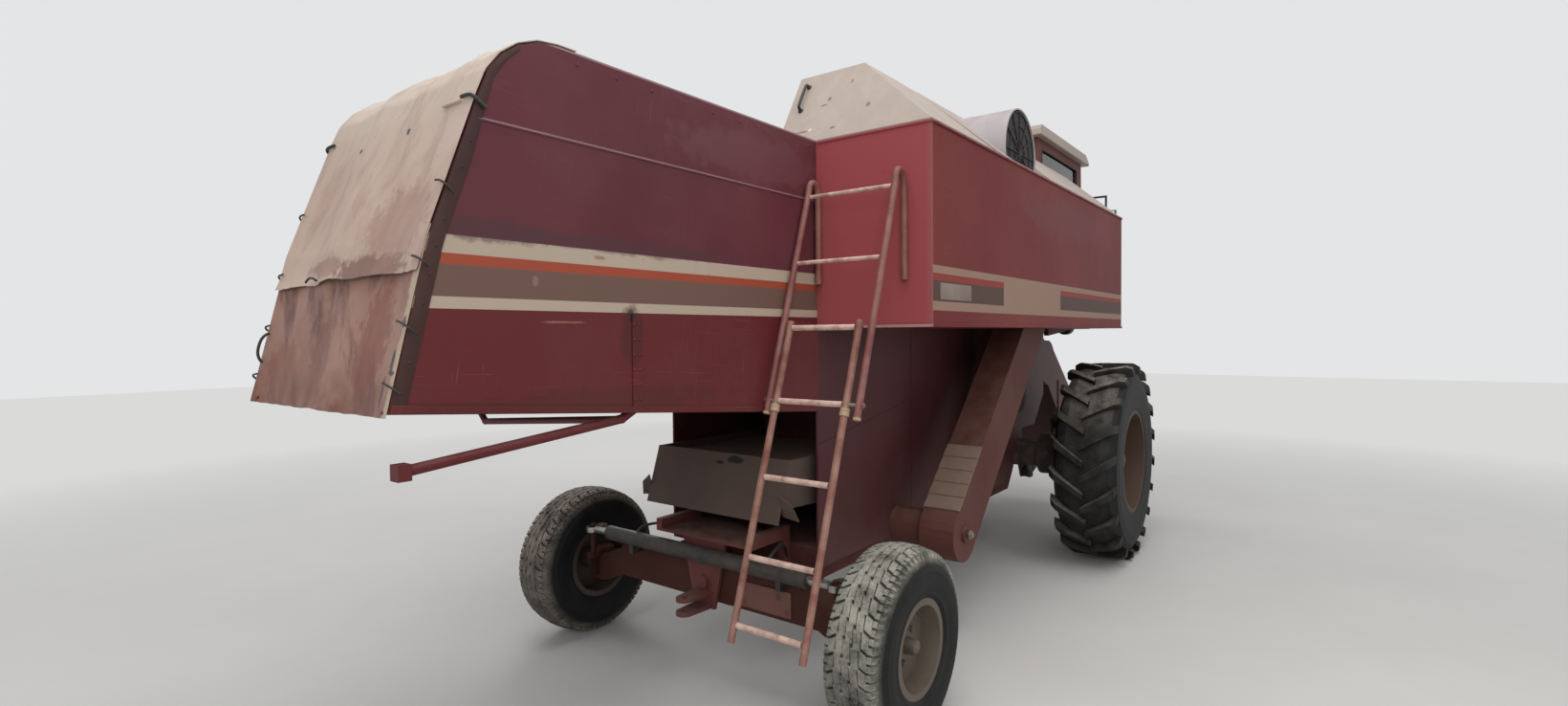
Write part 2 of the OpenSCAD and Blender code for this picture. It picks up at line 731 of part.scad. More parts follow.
module cab_glass() color("lightslategray") {
    g = 0.3;
    block(cab_x + 120 + g, cab_front_x - 100 - g, -cab_y + 15, -cab_y + 21,
          sill_z + g, cab_top - 80 - g);
    block(cab_x + 90 + g, door_x[0] - 70 - g, cab_y - 21, cab_y - 15,
          sill_z + g, cab_top - 80 - g);
    block(cab_x + 15, cab_x + 21, -rear_pane_y + g, rear_pane_y - g,
          rear_sill_z + g, cab_top - 80 - g);
    intersection() {
        side([[cab_front_x + 75, front_sill_z - 1],
              [cab_front_x + 100 - 20, 2300],
              [cab_front_x + 34, cab_top - 59], [cab_front_x + 28, cab_top - 59],
              [cab_front_x + 74, 2300], [cab_front_x + 69, front_sill_z - 1]],
             -cab_y + 60 + g, cab_y - 60 - g);
        block(cab_x, plat_front, -cab_y, cab_y, front_sill_z + g,
              cab_top - 60 - g);
    }
}

door_gap = 6;
hinge = [door_x[0] + door_gap / 2, cab_y + 12];
hinge_z = [door_z[0] + 150, door_z[1] - 250];
door_pin_r = 6;
module cab_door() color("indianred") {
    x0 = door_x[0] + door_gap;
    x1 = door_x[1] - door_gap;
    z0 = door_z[0] + door_gap;
    z1 = door_z[1] - door_gap;
    difference() {
        block(x0, x1, cab_y - 34, cab_y, z0, z1);
        block(x0 + 70, x1 - 70, cab_y - 35, cab_y + 1, z0 + 320, z1 - 70);
        block(x0 + 50, x1 - 50, cab_y - 35, cab_y - 12, z0 + 50, z0 + 270);
    }
    // Hinge sleeves over the frame's pins
    for (z = hinge_z) difference() {
        union() {
            translate([hinge[0], hinge[1], z]) cylinder(h = 60, r = 11);
            block(hinge[0], hinge[0] + 45, cab_y - 1, cab_y + 9, z, z + 60);
        }
        translate([hinge[0], hinge[1], z - 1])
            cylinder(h = 62, r = door_pin_r + fit);
    }
}
module door_glass() color("lightslategray")
    block(door_x[0] + door_gap + 70.3, door_x[1] - door_gap - 70.3,
          cab_y - 20, cab_y - 14, door_z[0] + door_gap + 320.3,
          door_z[1] - door_gap - 70.3);

// Driver's seat, its back edge, length, half width and cushion heights
cab_floor = deck_z + 60 + cab_wall;
seat_x = cab_x + 414;
seat_len = 480;
seat_y = 230;
seat_z = [cab_floor + 330, cab_floor + 440, cab_floor + 960];
module driver_seat() color("dimgray") {
    translate([seat_x + seat_len * 0.46, 0, cab_floor])
        cylinder(h = seat_z[0] - cab_floor + 1, r = 90);
    block(seat_x, seat_x + seat_len, -seat_y, seat_y, seat_z[0], seat_z[1]);
    side([[seat_x, seat_z[1]], [seat_x + 90, seat_z[1]],
          [seat_x, seat_z[2]], [seat_x - 80, seat_z[2]]],
         -seat_y + 10, seat_y - 10);
}

wheel_ring_r = 190;
module steering_column() color("dimgray") {
    hub = [cab_front_x - 250, 0, cab_floor + 700];
    foot = [cab_front_x - 90, 0, cab_floor + 200];
    rod(foot, hub, 28);
    block(foot[0] - 60, foot[0] + 40, -60, 60, cab_floor, foot[2] + 60);
    translate(hub) rotate([0, -18, 0]) {
        rotate_extrude() translate([wheel_ring_r, 0]) circle(14);
        for (a = [0, 120, 240]) rotate([0, 0, a])
            rod([0, 0, 0], [wheel_ring_r - 5, 0, 0], 9);
    }
}

module cab_platform() color("indianred") {
    block(tank_x, plat_front, -wing_y, box_y, deck_z, deck_z + 60);
    // Brackets under the deck ahead of the body
    both() side([[body_nose_x, deck_z + 1], [plat_front - 100, deck_z + 1],
          [body_nose_x, deck_z - 60]], body_y + 5, body_y + 45);
    // Ladder ahead of the left drive wheel
    lx = [plat_front - 390, plat_front - 20];
    for (x = lx) block(x - 20, x + 20, box_y - 40, box_y, 520, deck_z + 1);
    for (i = [0:4])
        block(lx[0], lx[1], box_y - 110, box_y + 20, 540 + i * 270,
              560 + i * 270);
    // Hand rails
    tube([[tank_x + 20, box_y - 20, deck_z + 59],
          [tank_x + 20, box_y - 20, deck_z + 950],
          [door_x[0] - 80, box_y - 20, deck_z + 950],
          [door_x[0] - 80, box_y - 20, deck_z + 59]], rail_r);
    tube([[plat_front - 20, box_y - 20, deck_z + 59],
          [plat_front - 20, box_y - 20, deck_z + 900],
          [plat_front - 20, cab_y + 60, deck_z + 900],
          [plat_front - 20, cab_y + 60, deck_z + 59]], rail_r);
}

module lamps() color("gainsboro") {
    for (y = [-450, 450]) {
        translate([cab_front_x + 80, y, cab_top - 62])
            rotate([0, 90, 0]) cylinder(h = 70, r = 55);
        block(cab_front_x + 100, cab_front_x + 130, y - 10, y + 10,
              cab_top - 62, cab_top);
        translate([plat_front, y, deck_z + 20]) rotate([0, 90, 0])
            cylinder(h = 90, r = 75);
    }
}

mirror_reach = 240;
mirror_size = [180, 310];
module mirrors() color("dimgray") both() {
    x = cab_front_x + 20;
    y = cab_y + mirror_reach;
    head = deck_z + 1130;
    tube([[x, cab_y, head + 140], [x, y, head + 140], [x, y, head - 10]], 10);
    block(x - 20, x + 20, y - mirror_size[0] / 2, y + mirror_size[0] / 2,
          head - mirror_size[1], head);
}

pin_y = 905;
boss_z = [rear_r - 70, rear_r + 70];
king_r = 25;
spindle_r = 30;
// Steering arm from the king pin to its own pin
arm = [-140, -55];
arm_pin_r = 14;
arm_y = pin_y + arm[1];
eye_r = 34.5;
eye_drift = [-6, 57];
rod_r = 20;
rod_x = rear_axle_x + arm[0];
rod_z = 670;
module rear_axle() color("saddlebrown") {
    difference() {
        union() {
            across([[-870, boss_z[0]], [-870, boss_z[1]],
                    [-750, boss_z[1]], [-640, 620],
                    [640, 620], [750, boss_z[1]],
                    [870, boss_z[1]], [870, boss_z[0]], [800, boss_z[0]],
                    [700, 410], [-700, 410], [-800, boss_z[0]]],
                   rear_axle_x - 65, rear_axle_x + 65);
            for (y = [-pin_y, pin_y])
                translate([rear_axle_x, y, boss_z[0]])
                    cylinder(h = boss_z[1] - boss_z[0], r = 48);
        }
        for (y = [-pin_y, pin_y])
            translate([rear_axle_x, y, 0]) cylinder(h = 900, r = king_r + fit);
        translate([rear_axle_x - 66, 0, 515]) rotate([0, 90, 0])
            cylinder(h = 132, r = 35 + fit);
    }
}

module steering_cylinder() color("darkslategray") {
    difference() {
        union() {
            bar_y(rod_x, rod_z, -700, 700, 40);
            for (y = [-520, 520])
                block(rod_x, rear_axle_x - 65, y - 15, y + 15, 580, rod_z);
        }
        bar_y(rod_x, rod_z, -701, 701, rod_r + fit);
    }
}

// Rod of the steering cylinder: its slotted eyes let the arm pins drift
module tie_rod() color("silver") {
    bar_y(rod_x, rod_z, -arm_y + eye_r - 4, arm_y - eye_r + 4, rod_r);
    both() translate([rod_x, arm_y, rod_z - 15]) difference() {
        eye(eye_r, 0, 30);
        eye(eye_r - 9, -1, 32);
    }
}
module eye(r, z, h) hull() for (x = eye_drift)
    translate([x, 0, z]) cylinder(h = h, r = r, $fn = 32);

module knuckle() translate([rear_axle_x, 0, 0]) {
    plate = 25;
    gap = 3;
    low = boss_z[0] - gap - plate;
    for (z = [low, boss_z[1] + gap]) {
        translate([0, pin_y, z]) cylinder(h = plate, r = 46);
        translate([-46, pin_y, z]) cube([92, 80, plate]);
    }
    translate([-46, pin_y + 55, low])
        cube([92, plate, boss_z[1] - boss_z[0] + 2 * (gap + plate)]);
    translate([0, pin_y, low])
        cylinder(h = boss_z[1] - low + gap, r = king_r);
    translate([0, pin_y + 79, rear_r]) rotate([-90, 0, 0])
        cylinder(h = 130, r = spindle_r);
    // Steering arm with its upright pin
    translate([0, pin_y, boss_z[1] + gap]) linear_extrude(plate)
        polygon([[0, -35], [0, 35], [-60, 35], [arm[0] - 25, arm[1] + 25],
                 [arm[0] - 25, arm[1] - 27], [arm[0] + 20, arm[1] - 27],
                 [-50, -35]]);
    translate([arm[0], pin_y + arm[1], boss_z[1] + gap + 1])
        cylinder(h = rod_z + 30 - boss_z[1] - gap, r = arm_pin_r);
}
module knuckle_left() color("saddlebrown") knuckle();
module knuckle_right() color("saddlebrown") mirror([0, 1, 0]) knuckle();

// Feeder house: its rear end is round about the pivot
feeder_r = 205;
feeder_t = 14;
frame_out = 45;
frame_deep = 60;
bolt_r = 9;
function feeder_low(x) = feeder_z - feeder_r + (x - feeder_x)
    * (mouth_low - feeder_z + feeder_r) / (nose_x - feeder_x);
feeder_ribs = [feeder_x + 300, feeder_x + 600];
bolt_at = [feeder_y + frame_out - 20, mouth_high - 45];

// Lift cylinders between the axle and the feeder house
lift_a = [front_axle_x + 190, 560];
lift_out = 470;
lift_drop = 69;
lift_b = [feeder_x + lift_out, feeder_low(feeder_x + lift_out) - lift_drop];
lift_y = 440;
lift_pin_r = 16;
lift_eye = 27;
lift_lug = [30, 48];
lift_len = norm(lift_b - lift_a);
lift_tilt = atan2(lift_b[1] - lift_a[1], lift_b[0] - lift_a[0]);

module feeder_house() color("firebrick") {
    r = feeder_r;
    t = feeder_t;
    outer = [[feeder_x, feeder_z - r], [nose_x, mouth_low],
             [nose_x, mouth_high], [feeder_x + 60, feeder_z + r - 10],
             [feeder_x, feeder_z + r - 1]];
    face_x = nose_x - frame_deep;
    difference() {
        union() {
            side(outer, -feeder_y, feeder_y);
            bar_y(feeder_x, feeder_z, -feeder_y, feeder_y, r);
            // Face frame
            block(face_x, nose_x, -feeder_y - frame_out, feeder_y + frame_out,
                  mouth_low - 20, mouth_high + 20);
            // Folded ribs round the house
            for (x = feeder_ribs)
                block(x, x + 30, -feeder_y - 8, feeder_y + 8,
                      feeder_low(x) + 10, feeder_low(x) + 300);
        }
        side([[feeder_x, feeder_z - r + t + 15], [face_x, mouth_low + 60],
              [nose_x + 1, mouth_low + 20], [nose_x + 1, mouth_high - 20],
              [feeder_x + 60, feeder_z + r - t - 25],
              [feeder_x, feeder_z + r - t - 16]],
             -feeder_y + t, feeder_y - t);
        bar_y(feeder_x, feeder_z, -feeder_y + t, feeder_y - t, r - t);
        // Bores for the header's bolts
        both() translate([face_x - 1, bolt_at[0], bolt_at[1]])
            rotate([0, 90, 0]) cylinder(h = frame_deep + 2, r = bolt_r);
    }
    both() bar_y(feeder_x, feeder_z, feeder_y - 1, body_y, pivot_r);
    // Lugs and pins for the lift cylinders' rods
    both() {
        for (y = [lift_y - lift_lug[1], lift_y + lift_lug[0]])
            side([[lift_b[0] - 75, feeder_low(lift_b[0] - 75) + 2],
                  [lift_b[0] + 75, feeder_low(lift_b[0] + 75) + 2],
                  [lift_b[0] + 32, lift_b[1] - 30],
                  [lift_b[0] - 32, lift_b[1] - 30]],
                 y, y + lift_lug[1] - lift_lug[0]);
        bar_y(lift_b[0], lift_b[1], lift_y - lift_lug[0] - 1,
              lift_y + lift_lug[0] + 1, lift_pin_r);
    }
}
// Conveyor: two chains with slats round a front and a rear drum
drum_front = [nose_x - 190, mouth_low + 395];
drum_rear = [feeder_x, feeder_z];
drum_r = 78;
chain_t = 16;
slat_h = 18;
slats = 7;
module feeder_conveyor() color("dimgray") {
    a = drum_rear;
    b = drum_front;
    way = (b - a) / norm(b - a);
    up = [-way[1], way[0]];
    for (c = [a, b])
        bar_y(c[0], c[1], -feeder_y + feeder_t, feeder_y - feeder_t, drum_r);
    both() difference() {
        side(loop(a, b, drum_r + chain_t, drum_r + chain_t), 330, 362);
        side(loop(a, b, drum_r - 1, drum_r - 1), 329, 363);
    }
    for (i = [0:slats - 1])
        for (s = [-1, 1]) {
            at = a + way * (i + 0.5) * norm(b - a) / slats
                + up * s * (drum_r + chain_t);
            side([at - way * 12 - up * s * 4, at + way * 12 - up * s * 4,
                  at + way * 12 + up * s * slat_h,
                  at - way * 12 + up * s * slat_h],
                 -feeder_y + 40, feeder_y - 40);
        }
    // Slats on the front drum
    for (t = [-60, 0, 60])
        translate([b[0], 0, b[1]]) rotate([0, 42 + t, 0])
            translate([drum_r + chain_t - 4, -feeder_y + 40, -12])
            cube([slat_h, 2 * feeder_y - 80, 24]);
}

module lift_barrels() color("dimgray") both()
    translate([lift_a[0], lift_y, lift_a[1]]) rotate([0, -lift_tilt, 0]) {
        difference() {
            union() {
                rotate([0, 90, 0]) cylinder(h = 72, r = 22);
                translate([70, 0, 0]) rotate([0, 90, 0])
                    cylinder(h = 530, r = 45);
                rotate([90, 0, 0]) translate([0, 0, -24])
                    cylinder(h = 48, r = 42);
            }
            translate([150, 0, 0]) rotate([0, 90, 0])
                cylinder(h = 500, r = 28 + fit);
        }
        rotate([90, 0, 0]) translate([0, 0, -48]) cylinder(h = 96, r = 20);
    }
module lift_rods() color("silver") both()
    translate([lift_a[0], lift_y, lift_a[1]]) rotate([0, -lift_tilt, 0]) {
        translate([lift_len - 680, 0, 0]) rotate([0, 90, 0])
            cylinder(h = 640, r = 28);
        translate([lift_len, 0, 0]) rotate([90, 0, 0])
            translate([0, 0, -lift_eye]) difference() {
                cylinder(h = 2 * lift_eye, r = 44);
                translate([0, 0, -1])
                    cylinder(h = 2 * lift_eye + 2, r = lift_pin_r + 12);
            }
    }

turret = [tank_x - 300, box_y + rim_out + auger_r + 3];
turret_z = [deck_z + 70, top_z + 65];
swing_r = auger_r + 14;
module auger_turret() color("brown") {
    translate([turret[0], turret[1], turret_z[0]])
        cylinder(h = turret_z[1] - turret_z[0], r = auger_r);
    block(turret[0] - 110, turret[0] + 110, box_y, turret[1],
          turret_z[0] + 20, turret_z[0] + 260);
    // Swing flange
    translate([turret[0], turret[1], turret_z[1] - 16])
        cylinder(h = 16, r = swing_r);
}
module unloading_auger() color("brown") {
    z = turret_z[1] + 120;
    low = turret_z[1] + 0.3;
    translate([turret[0], turret[1], low]) cylinder(h = z - low, r = auger_r);
    translate([turret[0], turret[1], low]) cylinder(h = 16, r = swing_r);
    translate([turret[0], turret[1], z]) sphere(auger_r * 1.04);
    translate([turret[0], turret[1], z]) rotate([0, -90, 0])
        cylinder(h = auger_len, r = auger_r);
    translate([turret[0] - auger_len + 90, turret[1], z - 220])
        cylinder(h = 220, r = 85);
    // Joint band of the two tube lengths
    translate([turret[0] - auger_len / 2, turret[1], z]) rotate([0, -90, 0])
        cylinder(h = 30, r = auger_r + 8);
}

// Rim flanges, and their gap to the tyre
rim_inset = 28;
rim_gap = 0.3;
flange_h = 20;
flange_t = 8;

// Half a tyre's inner section where it seats on the rim
function bead_line(w, bead) =
    let (h = w / 2, seat = h - rim_inset - rim_gap)
    [[bead, seat], [bead + flange_h + rim_gap, seat],
     [bead + flange_h + rim_gap, h - rim_inset + flange_t],
     [bead + 36, h - 14]];
function mirrored(half) = concat(
    half, [for (i = [len(half) - 1:-1:0]) [half[i][0], -half[i][1]]]);

// Drive tyre: smooth carcass with a chevron of lugs
module drive_tyre(r, w, bead) {
    h = w / 2;
    base = r - lug_h;
    rotate([90, 0, 0]) rotate_extrude($fn = 96) polygon(mirrored(concat(
        bead_line(w, bead), [[(r + bead) / 2, h - 6], [r - 130, h - 10],
        [base - 22, h - 48], [base, h - 110]])));
    intersection() {
        union() for (i = [0:lugs - 1], s = [-1, 1])
            rotate([0, (i + s / 4) * 360 / lugs, 0]) scale([1, s, 1])
                translate([0, 0, base - 60]) linear_extrude(lug_h + 70)
                polygon([[-20, -14], [22, -14], [lug_run + 29, h + 12],
                         [lug_run - 32, h + 12]]);
        rotate([90, 0, 0]) rotate_extrude($fn = 96) polygon(mirrored([
            [r - 150, h - 20], [r - 80, h], [r - 22, h - 8], [r, h - 46]]));
    }
}
lug_run = 175;

// Steered tyre: smooth sides and a crown with grooves
module steered_tyre(r, w, bead) {
    h = w / 2;
    crown = h - 48;
    pitch = 2 * crown / (grooves + 1);
    sides = concat(bead_line(w, bead), [[(r + bead) / 2, h], [r - 70, h - 6],
                   [r - 24, h - 18], [r - 5, h - 36], [r, crown]]);
    cuts = [for (i = [grooves:-1:1]) let (y = -crown + i * pitch)
            each [[r, y + 6], [r - groove_d, y + 4], [r - groove_d, y - 4],
                  [r, y - 6]]];
    rotate([90, 0, 0]) rotate_extrude($fn = 96) polygon(concat(
        sides, cuts, [for (i = [len(sides) - 1:-1:0])
                      [sides[i][0], -sides[i][1]]]));
}

// Rim with disc and bored hub, its outer side towards +Y
module rim(bead, w, disc_at, hub_r, bore_r, hub_in, hub_out) {
    h = w / 2 - rim_inset;
    ri = bead - 9;
    lip = bead + flange_h;
    seat = bead - rim_gap;
    rotate([-90, 0, 0]) rotate_extrude($fn = 96) polygon([
        [bore_r, hub_in], [hub_r, hub_in], [hub_r, disc_at], [ri, disc_at],
        [ri, -h - flange_t], [lip, -h - flange_t], [lip, -h],
        [seat, -h], [seat, h], [lip, h],
        [lip, h + flange_t], [ri, h + flange_t], [ri, disc_at + 12],
        [hub_r, disc_at + 12], [hub_r, hub_out], [bore_r, hub_out]]);
}

module front_tyre(s) translate([front_axle_x, s * front_track, front_r])
    drive_tyre(front_r, front_w, front_rim_r);
module front_rim(s) translate([front_axle_x, s * front_track, front_r])
    rotate([0, 0, s > 0 ? 0 : 180])
        rim(front_rim_r, front_w, 20, 110, 45 + fit, -230, 78);
module rear_tyre(s) translate([rear_axle_x, s * rear_track, rear_r])
    steered_tyre(rear_r, rear_w, rear_rim_r);
module rear_rim(s) translate([rear_axle_x, s * rear_track, rear_r])
    rotate([0, 0, s > 0 ? 0 : 180])
        rim(rear_rim_r, rear_w, 20, 60, 30 + fit, -60, 50);

module front_tyre_left() color("dimgray") front_tyre(1);
module front_tyre_right() color("dimgray") front_tyre(-1);
module front_rim_left() color("lightgray") front_rim(1);
module front_rim_right() color("lightgray") front_rim(-1);
module rear_tyre_left() color("dimgray") rear_tyre(1);
module rear_tyre_right() color("dimgray") rear_tyre(-1);
module rear_rim_left() color("lightgray") rear_rim(1);
module rear_rim_right() color("lightgray") rear_rim(-1);

chassis_frame();
front_axle();
threshing_body();
upper_body();
tank_covers();
tank_lid();
engine_deck();
engine_block();
exhaust_pipe();
screen_duct();
rotary_screen();
straw_hood();
rear_curtain();
straw_walkers();
sieve_box();
elevators();
belt_drives();
ladder_upper();
ladder_lower();
cab_frame();
cab_roof();
cab_glass();
cab_door();
door_glass();
driver_seat();
steering_column();
cab_platform();
lamps();
mirrors();
rear_axle();
steering_cylinder();
tie_rod();
knuckle_left();
knuckle_right();
feeder_house();
feeder_conveyor();
lift_barrels();
lift_rods();
auger_turret();
unloading_auger();
front_tyre_left();
front_tyre_right();
front_rim_left();
front_rim_right();
rear_tyre_left();
rear_tyre_right();
rear_rim_left();
rear_rim_right();
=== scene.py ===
"""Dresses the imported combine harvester: its finishes, tread, curtain and trim, and the photograph's view."""

import json
import logging
import math
from dataclasses import dataclass
from enum import Enum
from typing import Any, Callable, Iterable, Optional, Sequence

import bpy
from mathutils import Matrix, Vector, noise

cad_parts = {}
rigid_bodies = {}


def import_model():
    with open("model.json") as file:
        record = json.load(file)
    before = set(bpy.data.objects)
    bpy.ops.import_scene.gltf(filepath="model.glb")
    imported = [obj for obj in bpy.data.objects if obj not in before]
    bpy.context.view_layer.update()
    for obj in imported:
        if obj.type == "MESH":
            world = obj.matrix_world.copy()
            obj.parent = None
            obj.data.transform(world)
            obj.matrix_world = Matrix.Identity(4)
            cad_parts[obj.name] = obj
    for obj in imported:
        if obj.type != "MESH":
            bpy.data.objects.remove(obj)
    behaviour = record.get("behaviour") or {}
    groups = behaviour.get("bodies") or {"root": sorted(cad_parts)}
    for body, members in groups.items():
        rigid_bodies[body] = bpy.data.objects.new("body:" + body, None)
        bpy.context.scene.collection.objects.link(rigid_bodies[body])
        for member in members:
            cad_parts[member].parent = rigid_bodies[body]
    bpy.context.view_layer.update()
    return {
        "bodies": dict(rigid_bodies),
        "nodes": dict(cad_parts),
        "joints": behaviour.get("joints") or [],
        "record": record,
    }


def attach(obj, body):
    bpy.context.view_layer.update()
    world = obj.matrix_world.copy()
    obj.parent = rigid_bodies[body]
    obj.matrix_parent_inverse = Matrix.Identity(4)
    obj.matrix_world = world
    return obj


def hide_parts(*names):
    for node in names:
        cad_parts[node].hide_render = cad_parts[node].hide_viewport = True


log = logging.getLogger("harvester")
MM = 0.001
Point = tuple[float, float, float]
ORIGIN: Point = (0, 0, 0)
UP: Point = (0, 0, 1)
Piece = bpy.types.Object
Finish = bpy.types.Material
Socket = bpy.types.NodeSocket


class Side(Enum):
    """Side of the machine, as the sign of its Y."""

    LEFT = 1
    RIGHT = -1

    @property
    def word(self) -> str:
        """Name of the side in lower case."""
        return self.name.lower()


def linear(code: str) -> tuple[float, float, float, float]:
    """Turns an sRGB hex code into a linear colour.

    Args:
        code: Six hex digits.

    Returns:
        Red, green, blue and an alpha of one.
    """
    channels = [int(code[i : i + 2], 16) / 255 for i in (0, 2, 4)]
    values = [c / 12.92 if c <= 0.04045 else ((c + 0.055) / 1.055) ** 2.4 for c in channels]
    return (values[0], values[1], values[2], 1.0)


def add_node(
    tree: bpy.types.NodeTree,
    kind: str,
    inputs: Optional[dict[Any, Any]] = None,
    **settings: Any,
) -> bpy.types.Node:
    """Adds a node with its settings and links.

    Args:
        tree: Node tree that gets the node.
        kind: Node type without its prefix.
        inputs: Constants or output sockets by input name or number.
        **settings: Properties set on the node first.

    Returns:
        The new node.
    """
    made = tree.nodes.new(f"ShaderNode{kind}")
    for key, value in settings.items():
        setattr(made, key, value)
    for key, value in (inputs or {}).items():
        if isinstance(value, Socket):
            tree.links.new(value, made.inputs[key])
        else:
            made.inputs[key].default_value = value
    return made


@dataclass(frozen=True)
class Band:
    """A band of colour, used for the painted stripes and for bands of painted light: its colour and the box of
    the part's frame that it covers, in metres.
    """

    colour: str
    low: float
    high: float
    x_from: float
    x_to: float
    side_from: float


@dataclass(frozen=True)
class Mark:
    """A stain, hole or worn patch: where it is, how far it reaches along X, Y and Z, and its colour."""

    centre: Point
    reach: Point
    colour: str
    share: float = 1.0


class Painter:
    """Builds one material's node tree from common steps."""

    def __init__(self, name: str) -> None:
        """Starts an empty material of that name."""
        self.material = bpy.data.materials.new(name)
        self.material.use_nodes = True
        self.tree = self.material.node_tree
        self.tree.nodes.clear()
        self.place = add_node(self.tree, "TexCoord").outputs["Object"]
        self.x, self.y, self.z = add_node(self.tree, "SeparateXYZ", {0: self.place}).outputs

    def math(self, operation: str, *values: Any, clamp: bool = False) -> Socket:
        """Output of a Math node with those values."""
        made = add_node(self.tree, "Math", dict(enumerate(values)), operation=operation)
        made.use_clamp = clamp
        return made.outputs[0]

    def times(self, *values: Any) -> Socket:
        """Product of two values."""
        return self.math("MULTIPLY", *values)

    def line(self, *values: Any, clamp: bool = False) -> Socket:
        """A value times a slope plus a start."""
        return self.math("MULTIPLY_ADD", *values, clamp=clamp)

    def tint(self, colour: Any, mask: Any, code: str, share: float = 1.0) -> Socket:
        """Colour with another one laid over it where a mask, weakened by a share, says so."""
        return self.mix(mask if share == 1.0 else self.times(mask, share), colour, linear(code))

    def speckle(
        self, size: float, low: float, high: float, detail: float = 4.0, stretch: Point = (1, 1, 1),
        turn: Point = (0, 0, 0),
    ) -> Socket:
        """Noise of one grain size, cut to a mask.

        Args:
            size: Size of a blotch in metres.
            low: Noise value that gives 0.
            high: Noise value that gives 1.
            detail: Octaves of the noise.
            stretch: How much longer a blotch is along X, Y and Z.
            turn: Degrees that the blotches are turned about X, Y and Z.

        Returns:
            A mask from 0 to 1.
        """
        turned = {"Vector": self.place, "Rotation": [math.radians(a) for a in turn], "Scale": stretch}
        spread = add_node(self.tree, "Mapping", turned, vector_type="TEXTURE").outputs[0]
        grains = {"Vector": spread, "Scale": 1 / size, "Detail": detail, "Roughness": 0.6}
        grain = add_node(self.tree, "TexNoise", grains)
        return self.ramp(grain.outputs["Fac"], low, high)

    def ramp(self, value: Any, low: float, high: float, **ends: float) -> Socket:
        """Mask that runs from 0 to 1 as a value goes from low to high."""
        limits = {"Value": value, "From Min": low, "From Max": high, **ends}
        return add_node(self.tree, "MapRange", limits).outputs[0]

    def blot(self, mark: Mark, ragged: Any) -> Socket:
        """Mask of one stain, its edge broken up by a noise."""
        total = None
        for value, centre, reach in zip((self.x, self.y, self.z), mark.centre, mark.reach):
            away = self.times(self.math("SUBTRACT", value, centre), 1 / reach)
            square = self.times(away, away)
            total = square if total is None else self.math("ADD", total, square)
        edge = self.line(ragged, -0.7, self.math("SQRT", total))
        return self.times(self.ramp(edge, 0.85, 0.45), mark.share)

    def facing_up(self, low: float, high: float) -> Socket:
        """Mask of the faces that look up, where dust settles."""
        shape = add_node(self.tree, "NewGeometry")
        normal = add_node(self.tree, "SeparateXYZ", {0: shape.outputs["Normal"]})
        return self.ramp(normal.outputs[2], low, high)

    def height_mask(self, low: float, high: float) -> Socket:
        """Mask that runs from 1 at the low height to 0 at the high one."""
        return self.ramp(self.z, low, high, **{"To Min": 1.0, "To Max": 0.0})

    def mix(self, mask: Any, under: Any, over: Any) -> Socket:
        """Colour that goes from under to over with the mask."""
        made = add_node(self.tree, "Mix", data_type="RGBA")
        for number, value in ((0, mask), (6, under), (7, over)):
            if isinstance(value, Socket):
                self.tree.links.new(value, made.inputs[number])
            else:
                made.inputs[number].default_value = value
        return made.outputs[2]

    def blend(self, mask: Any, under: str, over: str) -> Socket:
        """Colour that goes from one hex code to another with the mask."""
        return self.mix(mask, linear(under), linear(over))

    def span(self, value: Any, low: float, high: float) -> Socket:
        """Mask that is 1 where the value lies between two limits."""
        return self.math("COMPARE", value, (low + high) / 2, (high - low) / 2)

    def stripes(self, colour: Any, bands: Iterable[Band]) -> Socket:
        """Colour with the painted stripes and the bands of painted light laid over it."""
        outwards = self.math("ABSOLUTE", self.y)
        for band in bands:
            inside = self.times(
                self.span(self.z, band.low, band.high), self.span(self.x, band.x_from, band.x_to)
            )
            mask = self.times(inside, self.math("GREATER_THAN", outwards, band.side_from))
            colour = self.tint(colour, mask, band.colour)
        return colour

    def bump(self, height: Any, depth: float, strength: float = 1.0) -> Socket:
        """Normal with a relief of that depth in metres."""
        made = add_node(
            self.tree, "Bump", {"Height": height, "Distance": depth, "Strength": strength}
        )
        return made.outputs[0]

    def finish(self, inputs: dict[str, Any]) -> Finish:
        """Closes the material with a Principled shader.

        Args:
            inputs: Constants or sockets by the shader's input names.

        Returns:
            The finished material.
        """
        shader = add_node(self.tree, "BsdfPrincipled", inputs)
        add_node(self.tree, "OutputMaterial", {"Surface": shader.outputs[0]})
        return self.material


